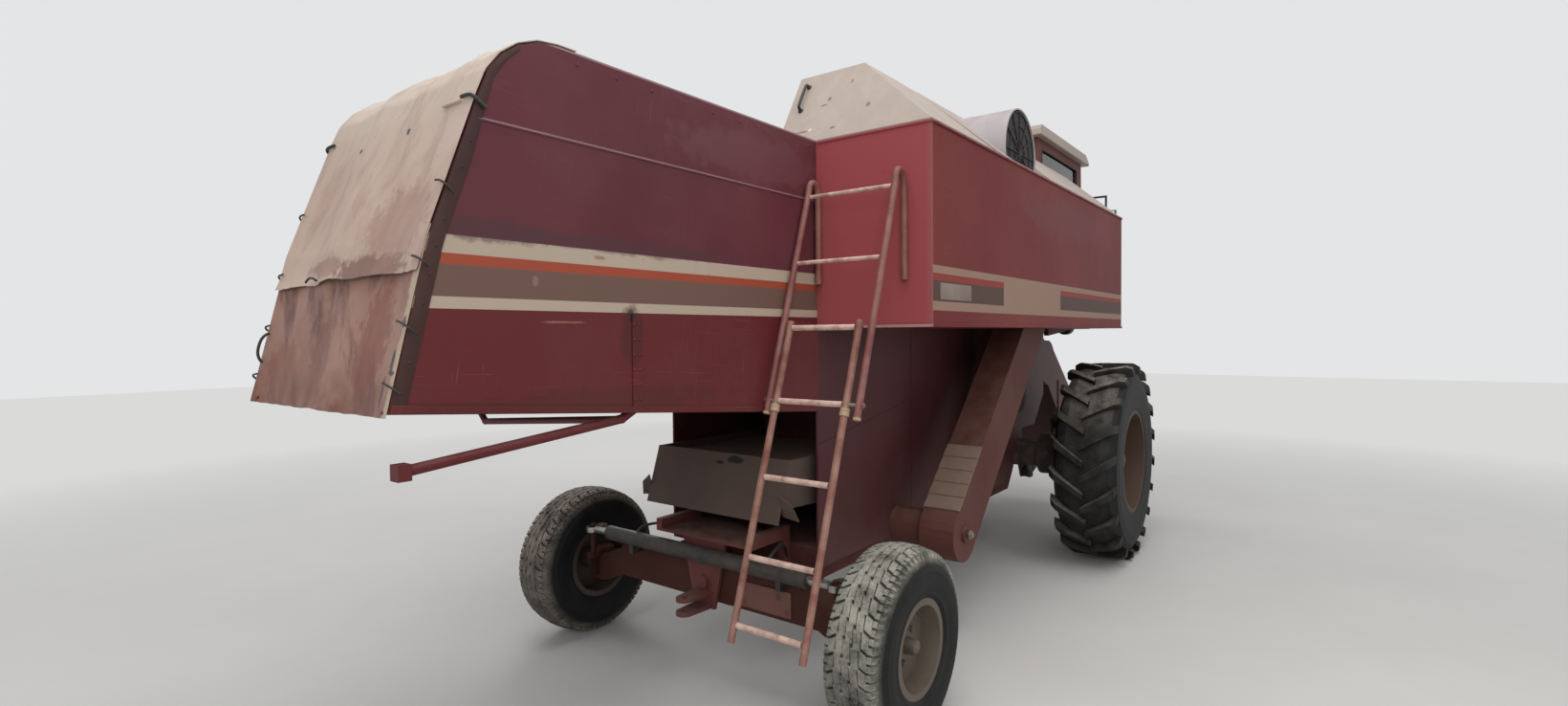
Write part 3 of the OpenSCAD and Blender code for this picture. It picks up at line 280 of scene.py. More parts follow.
@dataclass(frozen=True)
class SheetEnamel:
    """Air-dried enamel on pressed steel sheet: even colour, chalky with age, under barn dust."""

    name: str
    colour: str
    faded: str
    dust: str = "8F7568"
    rust: str = "5A2F22"
    dust_share: float = 0.55
    rust_share: float = 0.25
    roughness: float = 0.52
    bands: tuple[Band, ...] = ()
    dirt_height: Optional[tuple[float, float]] = None
    accent: Optional[str] = None
    accent_plane: tuple[float, float, float] = (0.0, 0.0, 0.0)
    lower: Optional[tuple[str, float]] = None
    film_share: float = 0.4
    scratches: float = 0.0
    specular: float = 0.3
    marks: tuple[Mark, ...] = ()

    def build(self) -> Finish:
        """Makes the material."""
        p = Painter(self.name)
        colour = p.blend(p.speckle(0.9, 0.38, 0.66), self.colour, self.faded)
        streaks = p.speckle(0.16, 0.5, 0.74, stretch=(1, 1, 7))
        colour = p.tint(colour, streaks, self.faded, 0.25)
        if self.lower:
            below = p.math("LESS_THAN", p.z, self.lower[1])
            colour = p.tint(colour, below, self.lower[0], 0.8)
        colour = p.stripes(colour, self.bands)
        if self.accent:
            along_x, along_z, beyond = self.accent_plane
            reach = p.line(p.x, along_x, p.times(p.z, along_z))
            colour = p.tint(colour, p.math("GREATER_THAN", reach, beyond), self.accent)
        settled = p.times(p.facing_up(0.2, 0.95), p.speckle(0.11, 0.25, 0.6))
        film = p.times(p.speckle(0.35, 0.42, 0.8, detail=8), self.film_share)
        dusty = p.times(p.math("MAXIMUM", settled, film), self.dust_share)
        colour = p.tint(colour, dusty, self.dust)
        if self.dirt_height:
            low = p.height_mask(*self.dirt_height)
            mask = p.times(low, p.speckle(0.2, 0.2, 0.75))
            colour = p.tint(colour, mask, self.dust, 0.6)
        chips = p.speckle(0.035, 0.66, 0.7, detail=6)
        patches = p.speckle(0.5, 0.48, 0.62)
        rusted = p.times(p.times(chips, patches), self.rust_share)
        colour = p.tint(colour, rusted, self.rust)
        if self.scratches:
            # Straw and branches leave long hair-fine scratches, drawn 4 mm wide so that they show
            along = p.speckle(0.004, 0.66, 0.70, detail=2, stretch=(60, 60, 1), turn=(0, 4, 0))
            down = p.speckle(0.004, 0.67, 0.71, detail=2, stretch=(1, 1, 45), turn=(0, 9, 0))
            places = p.speckle(0.45, 0.50, 0.60)
            lines = p.times(p.math("MAXIMUM", along, down), places)
            colour = p.tint(colour, lines, self.dust, self.scratches)
        ragged = p.speckle(0.06, 0.3, 0.7, detail=6)
        for mark in self.marks:
            colour = p.tint(colour, p.blot(mark, ragged), mark.colour)
        gloss = p.line(dusty, 0.35, self.roughness, clamp=True)
        gloss = p.math("ADD", gloss, p.times(rusted, 0.3), clamp=True)
        # Hand-flattened sheet is never quite flat: a slow waviness and a fine orange peel
        relief = p.math("ADD", p.speckle(0.4, 0.2, 0.8, detail=2), p.times(chips, 0.15))
        normal = p.bump(relief, 0.0035, 0.5)
        return p.finish(
            {"Base Color": colour, "Roughness": gloss, "Normal": normal, "Specular IOR Level": self.specular}
        )


@dataclass(frozen=True)
class BareSteel:
    """Bare or galvanised steel worn by straw: a grey metal under brown dust."""

    name: str
    colour: str
    dust: str
    metallic: float = 0.75
    roughness: float = 0.45
    dust_share: float = 0.8

    def build(self) -> Finish:
        """Makes the material."""
        p = Painter(self.name)
        mask = p.times(p.speckle(0.18, 0.3, 0.62, detail=8), self.dust_share)
        colour = p.blend(mask, self.colour, self.dust)
        metal = p.line(mask, -self.metallic, self.metallic, clamp=True)
        gloss = p.line(mask, 0.4, self.roughness, clamp=True)
        normal = p.bump(p.speckle(0.02, 0.3, 0.7), 0.0008, 0.4)
        return p.finish(
            {"Base Color": colour, "Metallic": metal, "Roughness": gloss, "Normal": normal}
        )


@dataclass(frozen=True)
class TyreRubber:
    """Vulcanised natural rubber, black and dull, greyed by dust on the tread, with painted light on what looks
    up and painted shade on what looks down and in the grooves.
    """

    name: str
    colour: str = "1B1A19"
    dust: str = "77716A"
    dust_share: float = 0.75
    wheel: tuple[float, float] = (0.0, 0.0)
    crown: tuple[float, float] = (0.0, 0.01)
    side_dust: float = 0.2
    # Radius beyond which the dust is thinned, a painted shade on the floors of the grooves; beyond every tyre
    # where there is none
    groove: float = 9.0
    # Share of the dust kept on what looks down, and the facings over which it rises to full: painted shade
    # below and painted light above
    shade: float = 0.3
    lit: tuple[float, float] = (-0.7, 0.5)

    def build(self) -> Finish:
        """Makes the material."""
        p = Painter(self.name)
        film = p.speckle(0.09, 0.3, 0.75, detail=8)
        fine = p.speckle(0.012, 0.35, 0.75, detail=6)
        mask = p.times(p.line(fine, 0.5, film, clamp=True), self.dust_share)
        across = p.math("SUBTRACT", p.x, self.wheel[0])
        upward = p.math("SUBTRACT", p.z, self.wheel[1])
        square = p.line(across, across, p.times(upward, upward))
        outer = p.ramp(p.math("SQRT", square), *self.crown)
        mask = p.times(mask, p.line(outer, 1 - self.side_dust, self.side_dust))
        # The dust is shown in full on what looks up and thinned on what looks down, a painted light from
        # above, and the floors of the grooves are kept dark as painted shade
        lit_from_above = p.line(p.facing_up(*self.lit), 1 - self.shade, self.shade)
        clear_of_groove_shade = p.ramp(p.math("SQRT", square), self.groove + 0.010, self.groove)
        mask = p.times(mask, p.times(lit_from_above, p.line(clear_of_groove_shade, 0.8, 0.2)))
        colour = p.blend(mask, self.colour, self.dust)
        gloss = p.line(mask, 0.25, 0.60, clamp=True)
        normal = p.bump(p.speckle(0.006, 0.3, 0.7), 0.0006, 0.5)
        dull = {"IOR": 1.52, "Specular IOR Level": 0.2}
        return p.finish({"Base Color": colour, "Roughness": gloss, "Normal": normal, **dull})


@dataclass(frozen=True)
class PaintedTube:
    """Brush-painted steel tube: faded paint rubbed to a dusty pink by hands and boots, the rungs paler still
    as a painted highlight from the light above.
    """

    name: str
    colour: str
    worn: str
    # Colour of the rungs, worn by boots and lightened as a painted highlight
    rung: str
    rung_span: tuple[float, float]
    roughness: float = 0.6

    def build(self) -> Finish:
        """Makes the material."""
        p = Painter(self.name)
        rubbed = p.speckle(0.12, 0.35, 0.62, detail=8)
        colour = p.blend(rubbed, self.colour, self.worn)
        # The rungs take that colour over a noise: real wear from boots, lightened into a painted highlight
        worn_and_lit_rungs = p.times(p.span(p.y, *self.rung_span), p.speckle(0.05, 0.2, 0.6))
        colour = p.tint(colour, worn_and_lit_rungs, self.rung)
        colour = p.tint(colour, p.speckle(0.02, 0.68, 0.72), "4B2A22")
        normal = p.bump(p.speckle(0.008, 0.3, 0.7), 0.0005, 0.4)
        return p.finish({"Base Color": colour, "Roughness": self.roughness, "Normal": normal})


@dataclass(frozen=True)
class OilyIron:
    """Cast iron or black-painted steel with oil and dust baked on: dark, blotchy and half dull."""

    name: str
    colour: str
    dust: str
    roughness: float = 0.6

    def build(self) -> Finish:
        """Makes the material."""
        p = Painter(self.name)
        mask = p.times(p.speckle(0.07, 0.35, 0.7, detail=8), 0.7)
        colour = p.blend(mask, self.colour, self.dust)
        normal = p.bump(p.speckle(0.01, 0.3, 0.7), 0.001, 0.5)
        gloss = p.line(mask, 0.3, self.roughness, clamp=True)
        return p.finish({"Base Color": colour, "Roughness": gloss, "Normal": normal})


@dataclass(frozen=True)
class SafetyGlass:
    """Flat tempered glass with a film of dust: clear, slightly grey and sharp in its reflections."""

    name: str
    colour: str = "C9D2D0"
    clear: float = 0.92
    specular: float = 0.5

    def build(self) -> Finish:
        """Makes the material."""
        p = Painter(self.name)
        film = p.speckle(0.2, 0.35, 0.8, detail=6)
        gloss = p.line(film, 0.22, 0.04)
        return p.finish(
            {
                "Base Color": linear(self.colour),
                "Roughness": gloss,
                "IOR": 1.52,
                "Transmission Weight": self.clear,
                "Specular IOR Level": self.specular,
            }
        )


@dataclass(frozen=True)
class PerforatedSheet:
    """Punched steel sheet, dark with dust: round holes in rows, seen as small black dots."""

    name: str
    colour: str
    dust: str
    # Real holes are 2 mm apart; they are drawn 9 mm apart so that they show at this distance
    pitch: float = 9 * MM

    def build(self) -> Finish:
        """Makes the material."""
        p = Painter(self.name)
        mask = p.times(p.speckle(0.10, 0.35, 0.7, detail=6), 0.5)
        colour = p.blend(mask, self.colour, self.dust)
        turns = 2 * math.pi / self.pitch
        rows = p.times(p.math("SINE", p.times(p.x, turns)),
                      p.math("SINE", p.times(p.z, turns)))
        holes = p.ramp(rows, 0.25, 0.5)
        colour = p.tint(colour, holes, "0E0D0D", 0.4)
        normal = p.bump(p.math("SUBTRACT", 1.0, holes), 0.001, 0.6)
        return p.finish({"Base Color": colour, "Roughness": 0.7, "Metallic": 0.2, "Normal": normal})


@dataclass(frozen=True)
class RubberisedCanvas:
    """Cotton canvas coated with rubber: a matt skin faded to pink-cream, coarsely woven and stained."""

    name: str
    colour: str
    faded: str
    stain: str
    stain_share: float
    top: Optional[str] = None
    hem: tuple[float, float] = (1.6, 1.85)
    slant: float = 0.0
    bare_edge: Optional[str] = None
    marks: tuple[Mark, ...] = ()
    # Real yarn is 0.6 mm apart; it is drawn at 5 mm so that it shows at this distance
    yarn: float = 5 * MM

    def build(self) -> Finish:
        """Makes the material."""
        p = Painter(self.name)
        colour = p.blend(p.speckle(0.5, 0.36, 0.66), self.colour, self.faded)
        if self.top:
            high = p.times(p.ramp(p.z, 2.35, 2.74), 0.85)
            colour = p.tint(colour, high, self.top)
        runs = p.speckle(0.10, 0.50, 0.64, detail=8, stretch=(1, 1, 4), turn=(self.slant, 0, 0))
        colour = p.tint(colour, runs, self.stain, self.stain_share)
        creases = p.speckle(0.012, 0.56, 0.66, detail=3, stretch=(1, 1, 22), turn=(self.slant * 1.5, 0, 0))
        creases = p.times(creases, p.speckle(0.3, 0.46, 0.58))
        colour = p.tint(colour, creases, self.faded, self.stain_share * 0.7)
        low = p.times(p.height_mask(*self.hem), p.speckle(0.08, 0.38, 0.58, detail=8))
        colour = p.tint(colour, low, "6B3A24", self.stain_share)
        spots = p.speckle(0.03, 0.68, 0.72)
        colour = p.tint(colour, spots, "5E463A", 0.6)
        # A pale strip near the lower sheet's right edge, a painted highlight on its turned fold
        if self.bare_edge:
            reach = p.line(p.speckle(0.06, 0.3, 0.7), 0.03, p.y)
            rim = p.ramp(reach, -0.468, -0.482)
            colour = p.tint(colour, rim, self.bare_edge, 0.85)
        ragged = p.speckle(0.03, 0.3, 0.7, detail=6)
        for mark in self.marks:
            colour = p.tint(colour, p.blot(mark, ragged), mark.colour)
        turns = 2 * math.pi / self.yarn
        warp = p.math("SINE", p.times(p.y, turns))
        weft = p.math("SINE", p.times(p.z, turns))
        normal = p.bump(p.times(warp, weft), 0.0006, 0.35)
        return p.finish(
            {
                "Base Color": colour,
                "Roughness": 0.86,
                "Normal": normal,
                "Sheen Weight": 0.15,
                "Sheen Roughness": 0.6,
            }
        )


@dataclass(frozen=True)
class StripeSet:
    """The painted stripes of one wall, edges from the top down, with pale lips and bands of painted light laid
    over them.
    """

    rear: float
    front: float
    out: float
    edges: tuple[float, float, float, float, float]
    cream: str
    orange: str
    brown: str
    block: Optional[tuple[float, float]] = None
    lips: tuple[Band, ...] = ()

    def bands(self) -> tuple[Band, ...]:
        """Bands from the top down."""
        colours = (self.cream, self.orange, self.brown, self.cream)
        found = [
            Band(colour, low, high, self.rear, self.front, self.out)
            for colour, high, low in zip(colours, self.edges, self.edges[1:])
        ]
        if self.block:
            found.append(Band(self.cream, self.edges[-1], self.edges[0], *self.block, self.out))
        return (*found, *self.lips)


HOOD_STRIPES = StripeSet(
    -3.40, -1.351, 0.5235, (2.105, 2.050, 2.017, 1.921, 1.885), "B0A08E", "9A4630", "6B5148",
    lips=(
        Band("8E7476", 2.768, 2.800, -2.96, -1.34, 0.500),
        # Painted highlight along the hood's swage line
        Band("76555A", 2.465, 2.473, -3.17, -1.352, 0.5255),
    ),
)
BOX_STRIPES = StripeSet(
    -1.354, 2.345, 1.1565, (2.114, 2.078, 2.045, 1.949, 1.906), "987C6C", "8C3C32", "56423B",
    block=(-0.445, 0.600),
    lips=(
        # The rear face painted lighter than the sides: painted light on the face that catches it
        Band("9C4C50", 1.842, 2.768, -1.40, -1.346, 0.500),
        Band("A08482", 2.768, 2.800, -1.40, 2.36, 0.500),
        # The rear corner and 10 mm of the side in the same painted light
        Band("985456", 1.840, 2.768, -1.40, -1.336, 1.136),
        # Painted highlight along the rear face's lower edge
        Band("A98783", 1.820, 1.842, -1.40, -1.352, 0.800),
    ),
)


# Hub and crown of the steered tyres, for the dust on their tread
STEERED_HUB = (-1.55, 0.43)
STEERED_CROWN = (0.360, 0.400)
FINISHES: dict[str, Any] = {
    "hood": SheetEnamel(
        "hood_enamel", "53222A", "5E2B33", dust="7A5F5A", dust_share=0.4, film_share=0.3,
        bands=HOOD_STRIPES.bands(), rust_share=0.5, lower=("5E1C1C", 1.885), scratches=0.4,
        marks=(
            Mark((-3.18, -0.52, 2.130), (0.30, 0.2, 0.035), "453035", 0.6),
            Mark((-2.55, -0.52, 2.128), (0.55, 0.2, 0.028), "453035", 0.5),
            Mark((-2.90, -0.52, 1.56), (0.75, 0.2, 0.05), "4A1F1D", 0.5),
            Mark((-2.57, -0.52, 1.80), (0.05, 0.2, 0.10), "431D1C", 0.6),
            Mark((-2.98, -0.52, 1.98), (0.012, 0.2, 0.018), "8C7C74", 0.5),
            Mark((-2.72, -0.52, 2.079), (0.022, 0.2, 0.007), "8A5038", 0.6),
            Mark((-2.87, -0.52, 1.848), (0.075, 0.2, 0.004), "9C6A60", 0.6),
            Mark((-2.575, -0.52, 1.872), (0.014, 0.2, 0.022), "241818", 0.7),
            Mark((-1.80, -0.52, 2.60), (0.5, 0.2, 0.10), "6C444A", 0.4),
        ),
    ),
    "box": SheetEnamel(
        "box_enamel", "6C2A2B", "773532", dust="7A5446", dust_share=0.4, film_share=0.1, specular=0.1,
        bands=BOX_STRIPES.bands(), rust_share=0.4, scratches=0.45,
        marks=(
            Mark((0.80, -1.15, 2.55), (0.9, 0.1, 0.12), "6E4345", 0.45),
        ),
    ),
    "body": SheetEnamel(
        "body_enamel", "4A2023", "55282C", dust="6A564D", dust_share=0.45, dirt_height=(0.4, 1.1),
        scratches=0.3,
    ),
    "frame": SheetEnamel(
        "frame_enamel", "5A2A28", "6C3D37", dust="7F695C", dust_share=0.7, roughness=0.66, scratches=0.3
    ),
    "leg": SheetEnamel(
        "elevator_enamel", "562B27", "623A33", dust="75604F", dust_share=0.6, roughness=0.62,
        accent="8A7768", accent_plane=(-0.69466, 0.71934, 0.35428 + 0.47476 + 0.1602),
    ),
    "box_plain": SheetEnamel("box_screw_enamel", "632D2E", "70393A"),
    "edge": SheetEnamel(
        "edge_strip_enamel", "33211F", "442B27", dust="5F4A40", dust_share=0.7, roughness=0.7
    ),
    "plate": BareSteel("blank_plate_aluminium", "94857C", "7D6A60", 0.5, 0.55, 0.8),
    "mirror": BareSteel("silvered_mirror", "D8DADA", "9A958E", 1.0, 0.05, 0.15),
    "lens": SafetyGlass("lamp_lens_glass", "E6E6E2"),
    "cream": SheetEnamel(
        "cover_enamel", "A99A8D", "B3A598", dust="8E8584", dust_share=0.65, rust="6A4B3C",
        rust_share=0.9, scratches=0.3,
        marks=(
            Mark((-1.20, -0.52, 3.02), (0.3, 0.010, 0.012), "5E5048", 0.8),
            Mark((-1.20, -0.50, 2.985), (0.3, 0.018, 0.006), "6C5C50", 0.7),
            Mark((-1.30, -0.41, 2.845), (0.3, 0.030, 0.005), "6A5A4E", 0.8),
            Mark((-1.30, -0.46, 2.850), (0.3, 0.010, 0.007), "D8CFC4", 0.9),
            Mark((-1.31, -0.36, 2.800), (0.3, 0.022, 0.010), "5A4A40", 0.7),
            Mark((-1.31, -0.60, 2.835), (0.3, 0.014, 0.006), "6A5A4E", 0.8),
            Mark((-1.15, -0.63, 3.10), (0.3, 0.008, 0.014), "7A6A5E", 0.7),
            Mark((-1.25, -0.78, 2.93), (0.3, 0.012, 0.012), "645448", 0.7),
        ),
    ),
    "zinc": SheetEnamel("duct_enamel", "A39C9E", "B1AAAC", dust="927F7B"),
    "ladder": PaintedTube(
        "ladder_paint", "744239", "977060", rung="D2B4A6", rung_span=(-0.948, -0.610)
    ),
    "ladder_top": PaintedTube(
        "ladder_top_paint", "6E3935", "865951", rung="D2B0A4", rung_span=(-1.013, -0.567)
    ),
    "axle": SheetEnamel(
        "axle_enamel", "3E221C", "4A2C25", dust="5A4638", dust_share=0.5, roughness=0.7, specular=0.15
    ),
    "iron": OilyIron("cast_iron", "2D2725", "6A5A4E"),
    "hub": OilyIron("hub_iron", "4A3D36", "776A5E"),
    "black": OilyIron("black_paint", "1E1C1C", "544A42", roughness=0.5),
    "pulley": OilyIron("pulley_iron", "3A302C", "6E5F53", roughness=0.55),
    "sleeve": SheetEnamel(
        "sleeve_enamel", "6E4740", "7A544A", dust="7E685A", dust_share=0.6, roughness=0.7, rust_share=0.6
    ),
    "collar": SheetEnamel("collar_paint", "A98E72", "B89F85", dust="8A7462", roughness=0.65),
    "burnt": OilyIron("burnt_steel", "4A2F25", "6B5245", roughness=0.75),
    "chrome": BareSteel("chromed_rod", "A9A6A2", "7B6D60", 1.0, 0.2, 0.3),
    "worn": BareSteel("straw_worn_sheet", "6E635C", "644A40", 0.6, 0.5, 0.8),
    "galvanised": SheetEnamel(
        "dusty_sieve_sheet", "4C3D37", "5A4A42", dust="65564C", dust_share=0.7, roughness=0.75,
        marks=(
            Mark((-1.52, -0.115, 1.145), (0.15, 0.055, 0.018), "1C1818", 0.95),
            Mark((-1.53, -0.020, 1.125), (0.15, 0.030, 0.010), "1C1818", 0.9),
        ),
    ),
    "screen": PerforatedSheet("screen_mesh", "302B2D", "3A3231"),
    "zinc_bolt": BareSteel("zinc_plated_bolt", "8E8680", "7A6D62", 0.5, 0.5, 0.6),
    # On the tyres the dust shows fully where the tread looks up and is thinned where it looks down: painted
    # light and painted shade laid over the real dust
    "tyre": TyreRubber(
        "tyre_rubber", "131214", "A3A194", 1.0, wheel=STEERED_HUB, crown=STEERED_CROWN, side_dust=0.10
    ),
    # The carcass keeps only a fifth of its dust beyond the groove's radius, a painted shade on the floors of
    # the grooves
    "carcass": TyreRubber(
        "tyre_carcass_rubber", "0F0F11", "9A988C", 1.0, wheel=STEERED_HUB, crown=STEERED_CROWN,
        side_dust=0.04, groove=0.402,
    ),
    "tyre_far": TyreRubber(
        "far_tyre_rubber", "131214", "968D81", 1.0, wheel=STEERED_HUB, crown=STEERED_CROWN, side_dust=0.05
    ),
    # The drive tyres show their dust only where the tread looks well up: painted light on its top and painted
    # shade on the rest
    "tyre_dark": TyreRubber(
        "drive_tyre_rubber", "0D0C0D", "9A9388", 0.8, wheel=(1.86, 0.775), crown=(0.66, 0.76), side_dust=0.08,
        shade=0.14, lit=(0.35, 0.95),
    ),
    "belt": TyreRubber("belt_rubber", "1C1B1B", "5C5349", 0.5, side_dust=1.0),
    "rim": SheetEnamel(
        "rim_enamel", "655B51", "71675C", dust="5E5146", dust_share=0.85, roughness=0.7
    ),
    "rim_drive": SheetEnamel(
        "drive_rim_enamel", "4C3A31", "5A463B", dust="5A4A3F", dust_share=0.8, roughness=0.7
    ),
    "rim_far": SheetEnamel(
        "shaded_rim_enamel", "3A3330", "4A413B", dust="574B42", dust_share=0.7, roughness=0.5
    ),
    "glass": SafetyGlass("cab_safety_glass", "2E3535", 0.8, 0.08),
    "plastic": OilyIron("black_abs", "141414", "4A4540", roughness=0.55),
    "vinyl": OilyIron("seat_vinyl", "1A1918", "5A524B", roughness=0.42),
    "canvas": RubberisedCanvas(
        "canvas_upper", "B7998A", "C3A999", "8A6152", 0.32, top="C4B6A6", slant=12.0,
        marks=(
            Mark((-3.19, -0.14, 2.49), (1, 0.011, 0.011), "2A1D18"),
            Mark((-3.19, 0.20, 2.475), (1, 0.013, 0.010), "2A1D18"),
            Mark((-3.35, -0.20, 2.015), (1, 0.22, 0.045), "6E4334", 0.8),
            Mark((-3.35, 0.15, 2.04), (1, 0.16, 0.035), "8A5646", 0.6),
            Mark((-3.28, -0.30, 2.16), (1, 0.18, 0.12), "9A7466", 0.55),
        ),
    ),
    "canvas_low": RubberisedCanvas(
        "canvas_lower", "865544", "A07868", "5A2C1D", 0.9, hem=(1.585, 1.74), slant=-24.0, bare_edge="BBAA92",
        marks=(
            Mark((-3.40, -0.30, 1.80), (1, 0.10, 0.17), "7A3A2C", 0.75),
            Mark((-3.40, 0.05, 1.74), (1, 0.07, 0.15), "6E3728", 0.6),
            Mark((-3.42, 0.36, 1.70), (1, 0.12, 0.08), "7C4534", 0.7),
            Mark((-3.45, -0.485, 1.700), (1, 0.030, 0.007), "1E1815"),
            Mark((-3.45, -0.470, 1.735), (1, 0.010, 0.030), "2A1F1A"),
            Mark((-3.45, -0.440, 1.640), (1, 0.012, 0.045), "33241D", 0.8),
            Mark((-3.45, -0.500, 1.845), (1, 0.012, 0.020), "2A1F1A"),
        ),
    ),
}
NODES_BY_FINISH = {
    "frame": "chassis_frame cab_frame cab_door cab_platform",
    "iron": "front_axle engine_block belt_drives",
    "body": "threshing_body feeder_house auger_turret unloading_auger",
    "box": "upper_body engine_deck",
    "cream": "tank_covers tank_lid cab_roof",
    "burnt": "exhaust_pipe",
    "zinc": "screen_duct",
    "screen": "rotary_screen",
    "hood": "straw_hood",
    "canvas": "rear_curtain",
    "worn": "straw_walkers feeder_conveyor",
    "galvanised": "sieve_box",
    "leg": "elevators",
    "ladder_top": "ladder_upper",
    "ladder": "ladder_lower",
    "glass": "cab_glass door_glass",
    "vinyl": "driver_seat",
    "plastic": "steering_column mirrors",
    "black": "lamps steering_cylinder lift_barrels",
    "axle": "rear_axle knuckle_left knuckle_right",
    "chrome": "tie_rod lift_rods",
    "rim_drive": "front_rim_left front_rim_right",
    "rim_far": "rear_rim_left",
    "rim": "rear_rim_right",
    "tyre_dark": "front_tyre_left front_tyre_right",
    "tyre": "rear_tyre_left rear_tyre_right",
}


class Workshop:
    """The finishes, made once and shared, each an attribute by its name in the table."""

    def __init__(self) -> None:
        """Builds every material."""
        self.made = {name: finish.build() for name, finish in FINISHES.items()}

    def __getattr__(self, name: str) -> Finish:
        """A finish by its name."""
        return self.made[name]


def dress_nodes(shop: Workshop, nodes: dict[str, Piece]) -> None:
    """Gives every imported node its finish.

    Args:
        shop: The finishes.
        nodes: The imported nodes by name.
    """
    for finish, names in NODES_BY_FINISH.items():
        material = getattr(shop, finish)
        for name in names.split():
            data = nodes[name].data
            data.materials.clear()
            data.materials.append(material)
            log.info("node %s gets %s", name, material.name)


def rectangle(u0: float, u1: float, v0: float, v1: float) -> list[tuple[float, float]]:
    """Corners of a rectangle, in order."""
    return [(u0, v0), (u1, v0), (u1, v1), (u0, v1)]


class Bench:
    """Modelling steps shared by the sub-assemblies, done with the editor's own tools."""

    @staticmethod
    def pick(*pieces: Piece) -> None:
        """Makes these pieces the only selected ones, the first being active."""
        bpy.ops.object.select_all(action="DESELECT")
        for piece in pieces:
            piece.select_set(True)
        bpy.context.view_layer.objects.active = pieces[0]

    @staticmethod
    def settle(
        piece: Piece, name: str, material: Finish, angle: float = 32.0
    ) -> Piece:
        """Names a piece, applies its place and gives it its finish.

        Args:
            piece: The piece.
            name: Its name.
            material: Its finish.
            angle: Edges sharper than this many degrees stay sharp.

        Returns:
            The same piece.
        """
        Bench.pick(piece)
        piece.name = name
        piece.data.name = name
        Bench.apply()
        piece.data.materials.clear()
        piece.data.materials.append(material)
        bpy.ops.object.shade_smooth_by_angle(angle=math.radians(angle))
        return piece

    @staticmethod
    def mode(name: str) -> None:
        """Enters edit or object mode."""
        bpy.ops.object.mode_set(mode=name)

    @staticmethod
    def apply() -> None:
        """Bakes the place of what is selected into its mesh."""
        bpy.ops.object.transform_apply(location=True, rotation=True, scale=True)

    @staticmethod
    def added(primitive: Callable[..., Any], **settings: Any) -> Piece:
        """Adds a primitive with nothing else selected."""
        bpy.ops.object.select_all(action="DESELECT")
        primitive(**settings)
        return bpy.context.object

    @staticmethod
    def box(low: Point, high: Point) -> Piece:
        """A sharp-edged box between two corners."""
        centre = [(a + b) / 2 for a, b in zip(low, high)]
        size = [b - a for a, b in zip(low, high)]
        piece = Bench.added(bpy.ops.mesh.primitive_cube_add, size=1, location=centre, scale=size)
        Bench.apply()
        return piece

    @staticmethod
    def outlined(corners: Sequence[Point], fill: str) -> Piece:
        """A closed outline through corners, filled or not."""
        piece = Bench.added(
            bpy.ops.mesh.primitive_circle_add, vertices=len(corners), radius=1, fill_type=fill
        )
        for vertex, corner in zip(piece.data.vertices, corners):
            vertex.co = corner
        return piece

    @staticmethod
    def round_off(offset: float, segments: int) -> None:
        """Ends edit mode with the selected edges rounded."""
        bpy.ops.mesh.bevel(offset=offset, segments=segments, affect="EDGES")
        Bench.mode("OBJECT")

    @staticmethod
    def close(merge: float = 0.0) -> None:
        """Ends edit mode with points nearer than a distance merged and all normals outwards."""
        bpy.ops.mesh.select_all(action="SELECT")
        if merge:
            bpy.ops.mesh.remove_doubles(threshold=merge)
        bpy.ops.mesh.normals_make_consistent(inside=False)
        Bench.mode("OBJECT")

    @staticmethod
    def modify(piece: Piece, kind: str, **settings: Any) -> None:
        """Adds a modifier with its settings and applies it."""
        Bench.pick(piece)
        made = piece.modifiers.new(kind.lower(), kind)
        for key, value in settings.items():
            setattr(made, key, value)
        bpy.ops.object.modifier_apply(modifier=made.name)

    @staticmethod
    def choose(piece: Piece, test: Callable[[Vector, Vector], bool]) -> None:
        """Enters edit mode with the faces selected whose centre and normal pass a test."""
        Bench.pick(piece)
        Bench.mode("EDIT")
        bpy.ops.mesh.select_mode(type="FACE")
        bpy.ops.mesh.select_all(action="DESELECT")
        Bench.mode("OBJECT")
        for face in piece.data.polygons:
            face.select = test(face.center, face.normal)
        Bench.mode("EDIT")

    @staticmethod
    def block(
        name: str, low: Point, high: Point, material: Finish, edge: float = 2 * MM
    ) -> Piece:
        """A box between two corners with rounded edges.

        Args:
            name: Its name.
            low: Lowest corner.
            high: Highest corner.
            material: Its finish.
            edge: Size of the rounded edges.

        Returns:
            The box.
        """
        piece = Bench.box(low, high)
        Bench.mode("EDIT")
        Bench.round_off(edge, 2)
        return Bench.settle(piece, name, material)

    @staticmethod
    def turned(
        name: str,
        profile: Sequence[tuple[float, float]],
        foot: Point,
        way: Point,
        material: Finish,
        steps: int = 24,
    ) -> Piece:
        """A closed solid turned on a lathe.

        Args:
            name: Its name.
            profile: Radius and distance along the axis, from its foot up.
            foot: Where the axis starts.
            way: Direction of the axis.
            material: Its finish.
            steps: Faces round the axis.

        Returns:
            The turned piece.
        """
        radius, height = profile[0]
        piece = Bench.added(
            bpy.ops.mesh.primitive_circle_add,
            vertices=steps, radius=radius, fill_type="NGON", location=(0, 0, height),
        )
        Bench.mode("EDIT")
        for next_radius, next_height in profile[1:]:
            bpy.ops.mesh.extrude_region_move(
                TRANSFORM_OT_translate={"value": (0, 0, next_height - height)}
            )
            ratio = next_radius / radius
            bpy.ops.transform.resize(value=(ratio, ratio, 1))
            radius, height = next_radius, next_height
        Bench.close()
        turn = Vector(way).to_track_quat("Z", "Y").to_matrix().to_4x4()
        piece.matrix_world = Matrix.Translation(foot) @ turn @ piece.matrix_world
        return Bench.settle(piece, name, material)

